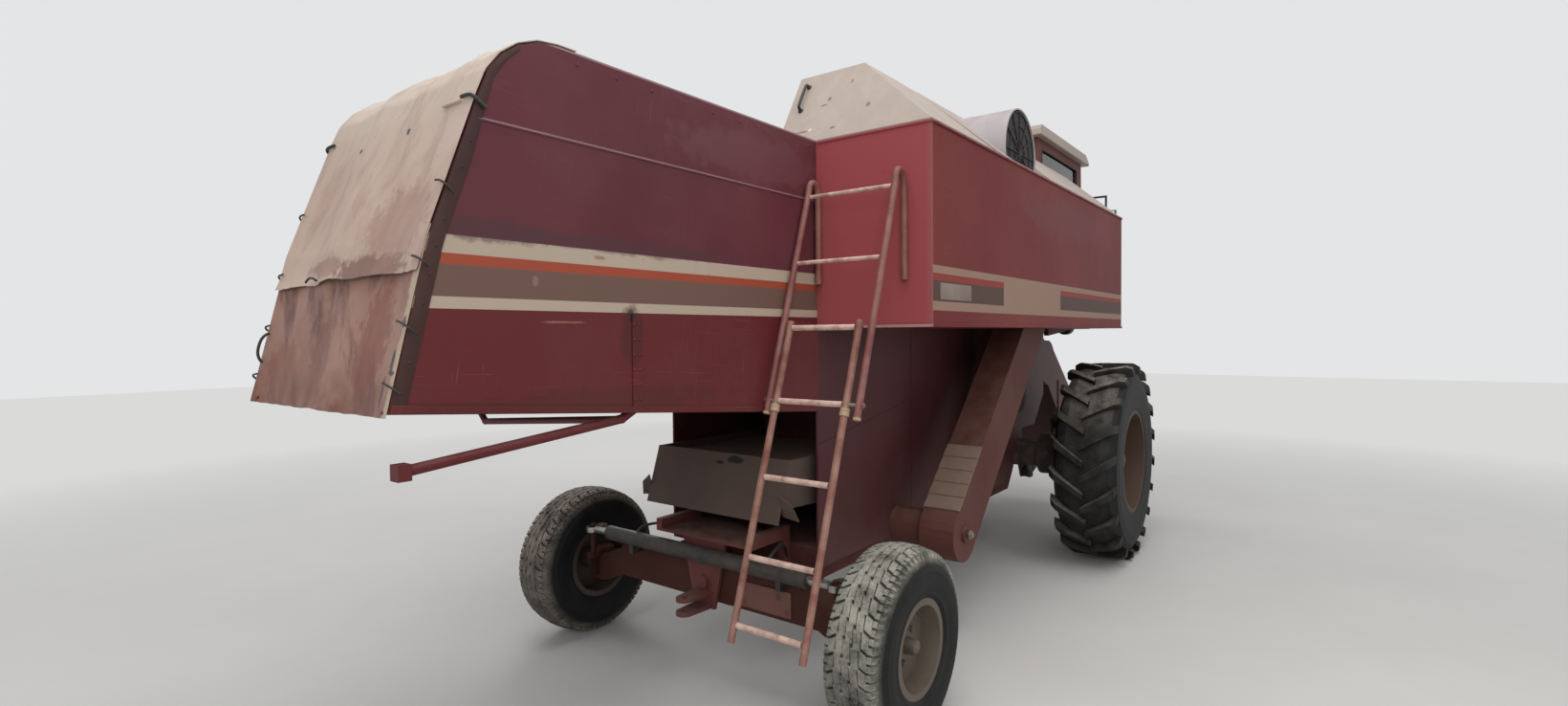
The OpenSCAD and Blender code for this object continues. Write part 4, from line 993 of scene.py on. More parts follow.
    @staticmethod
    def tube(
        name: str,
        points: Sequence[Point],
        radius: float,
        material: Finish,
        order: int = 3,
        fineness: int = 3,
    ) -> Piece:
        """A round tube or hose drawn along points.

        Args:
            name: Its name.
            points: The points, in metres.
            radius: Radius of the tube.
            material: Its finish.
            order: 2 keeps the corners, 3 or 4 rounds them.
            fineness: Steps round a quarter of the section.

        Returns:
            The tube as a mesh.
        """
        piece = Bench.added(bpy.ops.curve.primitive_nurbs_path_add, location=(0, 0, 0))
        line = piece.data
        line.splines.clear()
        spline = line.splines.new("NURBS")
        spline.points.add(len(points) - 1)
        for place, point in zip(spline.points, points):
            place.co = (*point, 1.0)
        spline.order_u = min(order, len(points))
        spline.use_endpoint_u = True
        spline.resolution_u = 6
        line.dimensions = "3D"
        line.bevel_depth = radius
        line.bevel_resolution = fineness - 1
        line.use_fill_caps = True
        bpy.ops.object.convert(target="MESH")
        return Bench.settle(bpy.context.object, name, material, 50.0)

    @staticmethod
    def plate(
        name: str,
        outline: Sequence[Point],
        thick: Point,
        material: Finish,
        edge: float = 0.8 * MM,
    ) -> Piece:
        """A flat plate of any outline.

        Args:
            name: Its name.
            outline: Its corners in order.
            thick: Vector of its thickness.
            material: Its finish.
            edge: Size of the rounded edges.

        Returns:
            The plate.
        """
        piece = Bench.outlined(outline, "NGON")
        Bench.mode("EDIT")
        bpy.ops.mesh.extrude_region_move(TRANSFORM_OT_translate={"value": thick})
        Bench.close()
        Bench.modify(piece, "BEVEL", width=edge, segments=2, limit_method="ANGLE")
        return Bench.settle(piece, name, material)

    @staticmethod
    def spun(
        name: str,
        outline: Sequence[tuple[float, float]],
        centre: Point,
        steps: int,
        material: Finish,
        angle: float = 40.0,
    ) -> Piece:
        """A closed outline spun round an axis along Y.

        Args:
            name: Its name.
            outline: Radius and distance along the axis of its corners, in order.
            centre: Where the axis crosses the middle plane.
            steps: Faces round the axis.
            material: Its finish.
            angle: Edges sharper than this many degrees stay sharp.

        Returns:
            The ring.
        """
        piece = Bench.outlined([(0, along, radius) for radius, along in outline], "NOTHING")
        Bench.mode("EDIT")
        bpy.ops.mesh.select_all(action="SELECT")
        bpy.ops.mesh.spin(steps=steps, angle=2 * math.pi, center=(0, 0, 0), axis=(0, 1, 0))
        Bench.close(0.02 * MM)
        piece.location = centre
        return Bench.settle(piece, name, material, angle)

    @staticmethod
    def joined(name: str, pieces: Sequence[Piece]) -> Piece:
        """Joins pieces into one that keeps each one's finish."""
        Bench.pick(*pieces)
        if len(pieces) > 1:
            bpy.ops.object.join()
        piece = bpy.context.view_layer.objects.active
        piece.name = name
        piece.data.name = name
        return piece

    @staticmethod
    def scatter(
        name: str, master: Piece, places: Iterable[Matrix]
    ) -> Piece:
        """Copies a master to each place and joins the copies.

        Args:
            name: Name of the joined piece.
            master: What is copied, modelled at the origin.
            places: Where each copy goes.

        Returns:
            The joined copies.
        """
        copies = []
        for place in places:
            copy = master.copy()
            copy.data = master.data.copy()
            bpy.context.collection.objects.link(copy)
            copy.matrix_world = place
            copies.append(copy)
        piece = Bench.joined(name, copies)
        Bench.apply()
        bpy.data.objects.remove(master)
        return piece

    @staticmethod
    def group(name: str, pieces: Sequence[Piece], slot: str, body: str = "root") -> Piece:
        """Joins pieces and fits the result to a body."""
        return Bench.fit(Bench.joined(name, pieces), slot, body)

    @staticmethod
    def fit(piece: Piece, slot: str, body: str = "root") -> Piece:
        """Makes a piece ride on a body."""
        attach(piece, body)
        log.info("%s rides on %s", piece.name, body)
        return piece


def standing(at: Point, way: Point, turn: float = 0.0) -> Matrix:
    """Place whose Z looks along a direction, turned about it by some degrees."""
    face = Vector(way).to_track_quat("Z", "Y").to_matrix().to_4x4()
    return Matrix.Translation(at) @ face @ Matrix.Rotation(math.radians(turn), 4, "Z")


def between(low: float, high: float, count: int) -> list[float]:
    """Evenly spaced values, both ends among them."""
    return [low + (high - low) * i / (count - 1) for i in range(count)]


def bolt(size: float, material: Finish) -> Piece:
    """A hexagon bolt head on its washer, of that width across corners."""
    washer = ((size * 0.66, 0), (size * 0.66, size * 0.1), (size * 0.6, size * 0.13))
    head = ((size * 0.5, size * 0.12), (size * 0.5, size * 0.42), (size * 0.4, size * 0.48))
    parts = (("washer", washer, 16), ("head", head, 6))
    return Bench.joined("bolt", [Bench.turned(*part[:2], ORIGIN, UP, material, part[2]) for part in parts])


def rivet(size: float, material: Finish) -> Piece:
    """A domed rivet of that diameter."""
    half = size / 2
    dome = ((half, 0), (half * 0.94, half * 0.25), (half * 0.7, half * 0.5), (half * 0.3, half * 0.62))
    return Bench.turned("rivet", dome, ORIGIN, UP, material, 12)


@dataclass
class RearCurtain:
    """Two sheets of rubberised canvas over the hood's open rear, the upper one torn off along its hem."""

    half: float = 0.523
    over: float = 0.0035
    lift: float = 0.0045
    tear: float = 1.992
    hem: float = 1.567
    columns: int = 72
    thick: float = 3 * MM
    edge_points: tuple[tuple[float, float], ...] = (
        (-2.800, 2.775), (-2.875, 2.775), (-2.953, 2.765), (-3.025, 2.735), (-3.087, 2.687),
        (-3.135, 2.625), (-3.165, 2.553), (-3.220, 2.402), (-3.275, 2.251), (-3.330, 2.100),
        (-3.372, 1.929), (-3.414, 1.757), (-3.456, 1.586), (-3.461, 1.566),
    )

    def along(self, share: float) -> tuple[Vector, Vector]:
        """Point on the hood's rear edge and the direction out of it.

        Args:
            share: 0 at the top front, 1 at the hem.

        Returns:
            The point and the outward direction, both in X and Z.
        """
        spots = [Vector((x, 0, z)) for x, z in self.edge_points]
        steps = [(b - a).length for a, b in zip(spots, spots[1:])]
        left = share * sum(steps)
        for a, b, step in zip(spots, spots[1:], steps):
            if left <= step or b is spots[-1]:
                way = (b - a).normalized()
                return a + way * left, Vector((way.z, 0, -way.x))
            left -= step
        raise ValueError(share)

    def sheet(
        self, name: str, start: float, rows: int, out: float, low: Callable[[float], float],
        material: Finish, slack: float,
    ) -> Piece:
        """One sheet as a grid bent over the hood's edge.

        Args:
            name: Its name.
            start: Share of the edge where the sheet starts.
            rows: Rows of the grid.
            out: Distance of the sheet from the hood's edge.
            low: Height of its lower edge at each distance across.
            material: Its finish.
            slack: How far it sags inwards between the side walls.

        Returns:
            The sheet with its thickness.
        """
        grid = {"x_subdivisions": self.columns, "y_subdivisions": rows, "size": 2}
        piece = Bench.added(bpy.ops.mesh.primitive_grid_add, **grid)
        ends: dict[int, float] = {}
        for vertex in piece.data.vertices:
            across, down = vertex.co.x, (vertex.co.y + 1) / 2
            key = round(across * 1000)
            if key not in ends:
                ends[key] = self.share_at(low(across * self.half))
            share = start + (ends[key] - start) * down
            spot, outwards = self.along(min(share, 1.0))
            inner = max(0.0, 1 - abs(across) ** 6)
            hang = min(1.0, max(0.0, (share - 0.25) / 0.3))
            folds = noise.noise(Vector((across * 2.1, share * 2.4, start * 7))) * 0.016
            folds += noise.noise(Vector((across * 5.2, share * 4.1, 3.1))) * 0.006
            folds += noise.noise(Vector((across * 14, share * 9.0, 8.7))) * 0.0022
            sag = -slack * inner * hang * (1 - 0.35 * math.cos(across * 5.1)) + folds * inner
            curl = max(0.0, down - 0.93) / 0.07
            lifted = out + 0.010 * curl * curl * (0.6 + 0.4 * math.sin(across * 9)) * (start < 0.5)
            offset = lifted + min(sag, 0.012) if inner > 0 else lifted
            spot = spot + outwards * offset
            vertex.co = (spot.x, across * self.half, spot.z)
        Bench.modify(piece, "SOLIDIFY", thickness=self.thick, offset=0.0)
        return Bench.settle(piece, name, material, 60.0)

    def share_at(self, height: float) -> float:
        """Share of the edge at which it has come down to a height."""
        low, high = 0.3, 1.0
        for _ in range(24):
            middle = (low + high) / 2
            if self.along(middle)[0].z > height:
                low = middle
            else:
                high = middle
        return high

    def torn(self, y: float) -> float:
        """Height of the upper sheet's torn edge at one distance across."""
        ragged = noise.noise(Vector((y * 6, 0.3, 0))) * 0.010 + noise.noise(Vector((y * 40, 1, 0))) * 0.004
        return self.tear - 0.014 * max(0.0, y - 0.25) * 4 + ragged

    def frayed(self, y: float) -> float:
        """Height of the lower sheet's hem at one distance across."""
        ragged = noise.noise(Vector((y * 9, 5.3, 0))) * 0.006
        return self.hem + 0.006 + abs(ragged)

    def hooks(self, shop: Workshop) -> list[Piece]:
        """Rubber hooks that hold the sheets' side edges to the hood."""
        pieces = []
        for side in Side:
            s = side.value
            for number, height in enumerate((2.525, 2.250, 2.022, 1.833, 1.659)):
                spot, outwards = self.along(self.share_at(height))
                inwards = -outwards
                top = number == 0
                ring = [
                    spot + inwards * (0.028 if top else 0.012) + Vector((0, s * 0.534, -0.012)),
                    spot + outwards * 0.004 + Vector((0, s * 0.537, -0.004)),
                    spot + outwards * 0.016 + Vector((0, s * 0.531, 0.003)),
                    spot + outwards * 0.018 + Vector((0, s * 0.508, 0.009)),
                    spot + outwards * 0.013 + Vector((0, s * (0.462 if top else 0.488), 0.012)),
                ]
                pieces.append(
                    Bench.tube(
                        f"curtain_hook_{side.word}_{number}", [tuple(p) for p in ring],
                        (6 if top else 3.5) * MM, shop.plastic, 4,
                    )
                )
        spot, outwards = self.along(self.share_at(2.525))
        strap = [spot + outwards * 0.012 + Vector((0, y, 0.004)) for y in (-0.455, -0.425, -0.390, -0.350)]
        pieces.append(Bench.tube("curtain_strap", [tuple(p) for p in strap], 5 * MM, shop.canvas, 3, 2))
        loop = []
        for height, out in ((1.818, 0.010), (1.806, 0.030), (1.765, 0.036), (1.726, 0.030), (1.712, 0.010)):
            spot, outwards = self.along(self.share_at(height))
            loop.append(tuple(spot + outwards * out + Vector((0, 0.487, 0))))
        pieces.append(Bench.tube("curtain_grip", loop, 5 * MM, shop.plastic, 4))
        spot, outwards = self.along(self.share_at(2.004))
        wire = ((0.17, -0.010), (0.20, 0.003), (0.24, 0.0), (0.26, -0.012))
        tag = [spot + outwards * 0.016 + Vector((0, y, z)) for y, z in wire]
        pieces.append(Bench.tube("curtain_tear_wire", [tuple(p) for p in tag], 4 * MM, shop.plastic, 3, 2))
        return pieces

    def build(self, shop: Workshop) -> None:
        """Makes both sheets and what holds them."""
        lower = self.sheet(
            "curtain_lower", self.share_at(2.13), 60, self.over, self.frayed, shop.canvas_low, 0.020
        )
        upper = self.sheet("curtain_upper", 0.0, 96, self.over + self.lift, self.torn, shop.canvas, 0.012)
        for piece in (lower, upper):
            Bench.fit(piece, "curtain_fabric")
        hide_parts("rear_curtain")
        run = sum(
            (Vector(b) - Vector(a)).length for a, b in zip(self.edge_points, self.edge_points[1:])
        )
        upper_length = run * self.share_at(self.tear)
        lower_length = run * (1.0 - self.share_at(2.13))
        Bench.group("curtain_fastenings", self.hooks(shop), "black_plastic")


@dataclass
class SteeredTyre:
    """Implement tyre of a steered wheel: rounded sides and five ribs cut into slanted blocks."""

    side: Side
    radius: float = 0.430
    half: float = 0.145
    bead: float = 0.195
    depth: float = 9 * MM
    pitches: int = 38
    rib: float = 33.5 * MM
    step: float = 38.8 * MM
    arch: float = 0.450
    axle: tuple[float, float, float] = (-1.550, 1.075, 0.430)

    def carcass(self, material: Finish) -> Piece:
        """The tyre without its tread blocks, its floor of the grooves being the crown."""
        floor = self.radius - self.depth
        half = [
            (self.bead, 0.1167), (0.2153, 0.1167), (0.2153, 0.1250), (0.2260, 0.1300), (0.2330, 0.1365),
            (0.2380, 0.1365), (0.2420, 0.1352), (0.2700, 0.1418), (0.2960, 0.1444), (0.3130, 0.1449),
            (0.3280, 0.1440), (0.3310, 0.1448), (0.3350, 0.1434), (0.3500, 0.1395), (0.3640, 0.1345),
            (0.3780, 0.1278), (0.3900, 0.1215), (0.4000, 0.1135), (0.4075, 0.1030), (0.4125, 0.0900),
            (0.4160, 0.0700), (0.4190, 0.0450), (floor, 0.0200),
        ]
        outline = half + [(r, -y) for r, y in reversed(half)]
        return Bench.spun(f"carcass_{self.side.word}", outline, (0, 0, 0), 144, material, 35.0)

    def rib_block(
        self, length: float, skew: float, shear: float, material: Finish
    ) -> Piece:
        """One block of a rib.

        Args:
            length: Its length round the tyre.
            skew: How far its ends slant.
            shear: How far its sides slant, which leaves the sawtooth edge of the groove.
            material: Its finish.

        Returns:
            The block, above the origin.
        """
        top, foot = self.radius, self.radius - self.depth - 1.5 * MM
        piece = Bench.box((-length / 2, -self.rib / 2, foot), (length / 2, self.rib / 2, top))
        Bench.choose(piece, lambda centre, normal: normal.y > 0.9)
        bpy.ops.transform.translate(value=(skew, 0, 0))
        Bench.mode("OBJECT")
        for end in (1, -1):
            Bench.choose(piece, lambda centre, normal: normal.x * end > 0.5)
            bpy.ops.transform.translate(value=(0, end * shear, 0))
            Bench.mode("OBJECT")
        Bench.choose(piece, lambda centre, normal: normal.z > 0.9)
        bpy.ops.transform.resize(value=(0.985, 0.95, 1))
        Bench.round_off(1.0 * MM, 1)
        return Bench.settle(piece, "rib_block", material)

    def shoulder_block(self, material: Finish) -> Piece:
        """A block that runs from the outer rib over the shoulder and down the side."""
        top, foot = self.radius - 1 * MM, self.radius - self.depth - 3 * MM
        piece = Bench.box((-0.0125, 0.0910, foot), (0.0125, 0.1100, top))
        for across, down, ratio in ((0.013, -0.0075, 0.95), (0.009, -0.0155, 0.8), (0.0045, -0.016, 0.7)):
            Bench.choose(piece, lambda centre, normal: normal.y > 0.5)
            bpy.ops.mesh.extrude_region_move(TRANSFORM_OT_translate={"value": (0.002, across, down)})
            bpy.ops.transform.resize(value=(ratio, 1, 0.9))
            Bench.mode("OBJECT")
        Bench.choose(piece, lambda centre, normal: True)
        Bench.round_off(1.2 * MM, 1)
        return Bench.settle(piece, "shoulder_block", material)

    def over_crown(self, turn: float, y: float, at: float = 0.0) -> Matrix:
        """Place on the arched crown.

        Args:
            turn: Degrees round the tyre.
            y: Distance from the middle plane along the crown.
            at: Y at which the piece was modelled.

        Returns:
            The place of a piece modelled above the origin.
        """
        middle = self.radius - self.arch
        lean = Matrix.Translation((0, 0, middle)) @ Matrix.Rotation(-y / self.arch, 4, "X")
        return Matrix.Rotation(math.radians(turn), 4, "Y") @ lean @ Matrix.Translation((0, -at, -middle))

    def build(self, shop: Workshop) -> None:
        """Makes the tyre in its place."""
        s = self.side.value
        material = shop.tyre if self.side is Side.RIGHT else shop.tyre_far
        pieces = [self.carcass(shop.carcass)]
        turn = 360 / self.pitches
        for row in range(-1, 2):
            # The blocks run into one another, so that a rib reads as one band with a sawtooth edge
            block = self.rib_block(0.0745, 0.004, 5.5 * MM, material)
            places = [self.over_crown(turn * (i + 0.31 * row), row * self.step) for i in range(self.pitches)]
            pieces.append(Bench.scatter(f"rib_{row + 2}", block, places))
        for end in (1, -1):
            block = self.rib_block(0.0600, -0.016, -3.0 * MM, material)
            shoulder = self.shoulder_block(material)
            flip = Matrix.Diagonal((1, end, 1, 1))
            spots = [turn * (i / 2 + 0.2 * end) for i in range(2 * self.pitches)]
            outer = [flip @ self.over_crown(spot, 0.090, 0.090) for spot in spots]
            inner = [flip @ self.over_crown(spot, 2 * self.step - 2 * MM) for spot in spots[::2]]
            pieces.append(Bench.scatter(f"rib_outer_{end}", block, inner))
            pieces.append(Bench.scatter(f"shoulder_{end}", shoulder, outer))
        for piece in pieces[1:]:
            Bench.pick(piece)
            Bench.mode("EDIT")
            Bench.close()
        tyre = Bench.joined(f"steered_tyre_{self.side.word}", pieces)
        tyre.matrix_world = Matrix.Translation((self.axle[0], s * self.axle[1], self.axle[2]))
        Bench.pick(tyre)
        Bench.apply()
        Bench.fit(tyre, "tyre", f"steer_wheel_{self.side.word}")
        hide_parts(f"rear_tyre_{self.side.word}")


@dataclass
class HoodTrim:
    """Edge strips and rivets of the straw hood."""

    wall: float = 0.525
    strip: float = 0.046
    thick: float = 3 * MM

    def edge_strip(self, side: Side, curtain: RearCurtain, material: Finish) -> Piece:
        """Dark angle strip that covers the rear edge of one side wall."""
        s = side.value
        shares = between(0.16, curtain.share_at(1.600), 26)
        outer, inner = [], []
        for share in shares:
            spot, outwards = curtain.along(share)
            outer.append((spot.x - outwards.x * 0.001, s * (self.wall + 0.0006), spot.z - outwards.z * 0.001))
            wide = self.strip * (0.30 + 0.70 * min(1.0, (share - 0.16) / 0.30))
            inner.append((spot.x - outwards.x * wide, s * (self.wall + 0.0006), spot.z - outwards.z * wide))
        return Bench.plate(
            f"hood_edge_{side.word}", outer + inner[::-1], (0, s * self.thick, 0), material
        )

    def build(self, shop: Workshop, curtain: RearCurtain) -> None:
        """Makes the trim of both walls."""
        for side in Side:
            s = side.value
            strip = self.edge_strip(side, curtain, shop.edge)
            places = []
            for share in between(0.36, curtain.share_at(1.65), 11):
                spot, outwards = curtain.along(share)
                at = spot - outwards * 0.026
                places.append(standing((at.x, s * (self.wall + 0.0034), at.z), (0, s, 0)))
            rivets = Bench.scatter("edge_rivets", rivet(9 * MM, shop.edge), places)
            Bench.group(f"hood_edge_{side.word}", [strip, rivets], "body_red")
            seams = [
                standing((-2.550 + dx, s * (self.wall + 0.0038), z), (0, s, 0))
                for z in between(1.56, 1.84, 6) for dx in (-0.013, 0.013)
            ]
            seams += [
                standing((x, s * (self.wall + 0.0002), 2.735), (0, s, 0)) for x in between(-2.80, -1.42, 9)
            ]
            seams += [
                standing((-1.375, s * (self.wall + 0.0002), z), (0, s, 0)) for z in between(1.48, 2.70, 11)
            ]
            screws = Bench.scatter(f"hood_rivets_{side.word}", rivet(11 * MM, shop.hood), seams)
            Bench.fit(screws, "body_red")


@dataclass
class SideBoxTrim:
    """Rivets on both sides of the upper body and the blank plate on its right side."""

    wall: float = 1.157
    rear: float = -1.350
    front: float = 2.342

    def build(self, shop: Workshop) -> None:
        """Makes the trim of both sides."""
        for side in Side:
            s = side.value
            front = self.front if side is Side.RIGHT else 1.740
            out = s * (self.wall + 0.0062)
            columns = between(self.rear + 0.06, front - 0.06, 13)
            rim = [standing((x, out, z), (0, s, 0)) for z in (2.7665, 1.838) for x in columns]
            face = s * (self.wall + 0.0003)
            rim += [
                standing((x, face, z), (0, s, 0))
                for x in (self.rear + 0.022, front - 0.022) for z in between(1.90, 2.72, 7)
            ]
            screws = Bench.scatter(f"box_rivets_{side.word}", rivet(10 * MM, shop.box_plain), rim)
            Bench.fit(screws, "body_red")
        label = Bench.plate(
            "blank_plate",
            [(x, -self.wall - 0.0004, z) for x, z in rectangle(-1.262, -0.900, 1.958, 2.036)],
            (0, -1.2 * MM, 0), shop.plate, 0.4 * MM,
        )
        face = -self.wall - 0.0017
        corners = [standing((x, face, z), (0, -1, 0)) for x in (-1.252, -0.910) for z in (1.968, 2.026)]
        pins = Bench.scatter("plate_pins", rivet(5 * MM, shop.plate), corners)
        Bench.group("blank_plate", [label, pins], "duct_zinc")


@dataclass
class WheelDetail:
    """Nuts, hub cap and valve of one wheel."""

    name: str
    body: str
    side: Side
    centre: Point
    disc: float
    ring: float
    nuts: int
    nut: float
    hub: float
    hub_out: float
    rim: float
    half: float

    def build(self, shop: Workshop) -> None:
        """Makes the wheel's small pieces."""
        s = self.side.value
        x, y, z = self.centre
        places = []
        for i in range(self.nuts):
            turn = 2 * math.pi * i / self.nuts
            across, up = self.ring * math.sin(turn), self.ring * math.cos(turn)
            at = (x + across, y + s * (self.disc + 0.0002), z + up)
            places.append(standing(at, (0, s, 0), 17.0 * i))
        pieces = [Bench.scatter("nuts", bolt(self.nut, shop.hub), places)]
        cap = self.hub * 0.62
        pieces.append(
            Bench.turned(
                "cap",
                (
                    (cap, 0), (cap, 0.012), (cap * 0.94, 0.018), (cap * 0.90, 0.040), (cap * 0.80, 0.052),
                    (cap * 0.5, 0.058), (cap * 0.2, 0.060),
                ),
                (x, y + s * (self.hub_out + 0.0004), z), (0, s, 0), shop.hub, 32,
            )
        )
        reach = self.rim - 0.022
        valve = Bench.tube(
            "valve",
            [
                (x, y + s * (self.half - 0.060), z + reach + 0.012),
                (x, y + s * (self.half - 0.045), z + reach - 0.010),
                (x, y + s * (self.half - 0.018), z + reach - 0.022),
            ],
            4 * MM, shop.plastic, 3, 3,
        )
        pieces.append(valve)
        Bench.group(f"{self.name}_fittings", pieces, "axle_iron", self.body)


@dataclass
class DriverSeat:
    """Sprung driver's seat: vinyl cushions on a steel pan, a bellows and a slide."""

    x: float = 2.200
    length: float = 0.480
    half: float = 0.230
    floor: float = 1.930
    pan: float = 2.260
    top: float = 2.370
    head: float = 2.890

    def cushion(
        self, name: str, low: Point, high: Point, tilt: float, pivot: Point, shop: Workshop, crown: float
    ) -> Piece:
        """One foam cushion, swollen by a cloth simulation.

        Args:
            name: Its name.
            low: Lowest corner before it is tilted.
            high: Highest corner before it is tilted.
            tilt: Degrees that it leans back about Y.
            pivot: Where it leans.
            shop: The finishes.
            crown: How far a point may move.

        Returns:
            The cushion.
        """
        centre = [(a + b) / 2 for a, b in zip(low, high)]
        size = [b - a for a, b in zip(low, high)]
        piece = Bench.box(low, high)
        Bench.mode("EDIT")
        Bench.round_off(0.028, 3)
        Bench.modify(piece, "REMESH", mode="VOXEL", voxel_size=0.011)
        start = [vertex.co.copy() for vertex in piece.data.vertices]
        Bench.pick(piece)
        cloth = piece.modifiers.new("swell", "CLOTH")
        cloth.settings.use_pressure = True
        cloth.settings.uniform_pressure_force = 4.0
        cloth.settings.effector_weights.gravity = 0.0
        scene = bpy.context.scene
        scene.frame_start, scene.frame_end = 1, 16
        for number in range(1, 17):
            scene.frame_set(number)
        bpy.ops.object.modifier_apply(modifier=cloth.name)
        scene.frame_set(1)
        lit_from_above = min(range(3), key=lambda axis: size[axis])
        for vertex, before in zip(piece.data.vertices, start):
            step = vertex.co - before
            if step.length > crown:
                step = step.normalized() * crown
            back = before[lit_from_above] < centre[lit_from_above] - size[lit_from_above] * 0.30
            if back:
                step[lit_from_above] = max(step[lit_from_above], 0.0)
            vertex.co = before + step
            for seam in (-0.33, 0.0, 0.33):
                gap = abs(vertex.co.y - centre[1] - seam * size[1]) / 0.010
                if gap < 1 and not back:
                    vertex.co[lit_from_above] -= 0.007 * (1 - gap * gap)
        Bench.modify(piece, "SMOOTH", factor=0.4, iterations=2)
        turn = Matrix.Translation(pivot) @ Matrix.Rotation(math.radians(tilt), 4, "Y")
        piece.matrix_world = turn @ Matrix.Translation([-value for value in pivot])
        Bench.settle(piece, name, shop.vinyl, 80.0)
        Bench.modify(piece, "SUBSURF", levels=1, render_levels=1)
        return piece

    def build(self, shop: Workshop) -> None:
        """Makes the seat in place of its CAD solid."""
        seat = self.cushion(
            "seat_cushion", (self.x + 0.012, -self.half + 0.012, self.pan + 0.016),
            (self.x + self.length - 0.012, self.half - 0.012, self.top - 0.008),
            0, (self.x, 0, self.pan), shop, 0.014,
        )
        back = self.cushion(
            "seat_back", (self.x + 0.006, -self.half + 0.022, self.top + 0.006),
            (self.x + 0.082, self.half - 0.022, self.head - 0.012),
            -8.7, (self.x, 0, self.top), shop, 0.012,
        )
        for piece, fill in ((seat, 0.75), (back, 0.7)):
            Bench.fit(piece, "seat_vinyl")
        pan = Bench.block(
            "pan", (self.x + 0.006, -self.half + 0.006, self.pan + 0.001),
            (self.x + self.length - 0.006, self.half - 0.006, self.pan + 0.018), shop.black, 5 * MM,
        )
        slide = Bench.block(
            "slide", (self.x + 0.07, -0.150, self.pan - 0.050), (self.x + 0.40, 0.150, self.pan + 0.001),
            shop.black, 6 * MM,
        )
        folds = [(0.098, 0.0)]
        height = self.pan - 0.050 - self.floor
        for i in range(6):
            folds += [(0.112, height * (i + 0.25) / 6), (0.092, height * (i + 0.75) / 6)]
        folds.append((0.098, height))
        bellows = Bench.turned("bellows", folds, (self.x + 0.22, 0, self.floor), (0, 0, 1), shop.plastic, 28)
        half = [
            (self.x + 0.02, -0.20, self.pan + 0.01), (self.x - 0.004, -0.20, self.top + 0.02),
            (self.x - 0.062, -0.19, self.head - 0.12),
        ]
        frame = Bench.tube(
            "frame",
            [
                *half, (self.x - 0.066, 0.0, self.head - 0.09), *[(x, -y, z) for x, y, z in half[::-1]],
            ],
            11 * MM, shop.black, 3,
        )
        stand = Bench.group("seat_stand", [pan, slide, bellows, frame], "black_plastic")
        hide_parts("driver_seat")


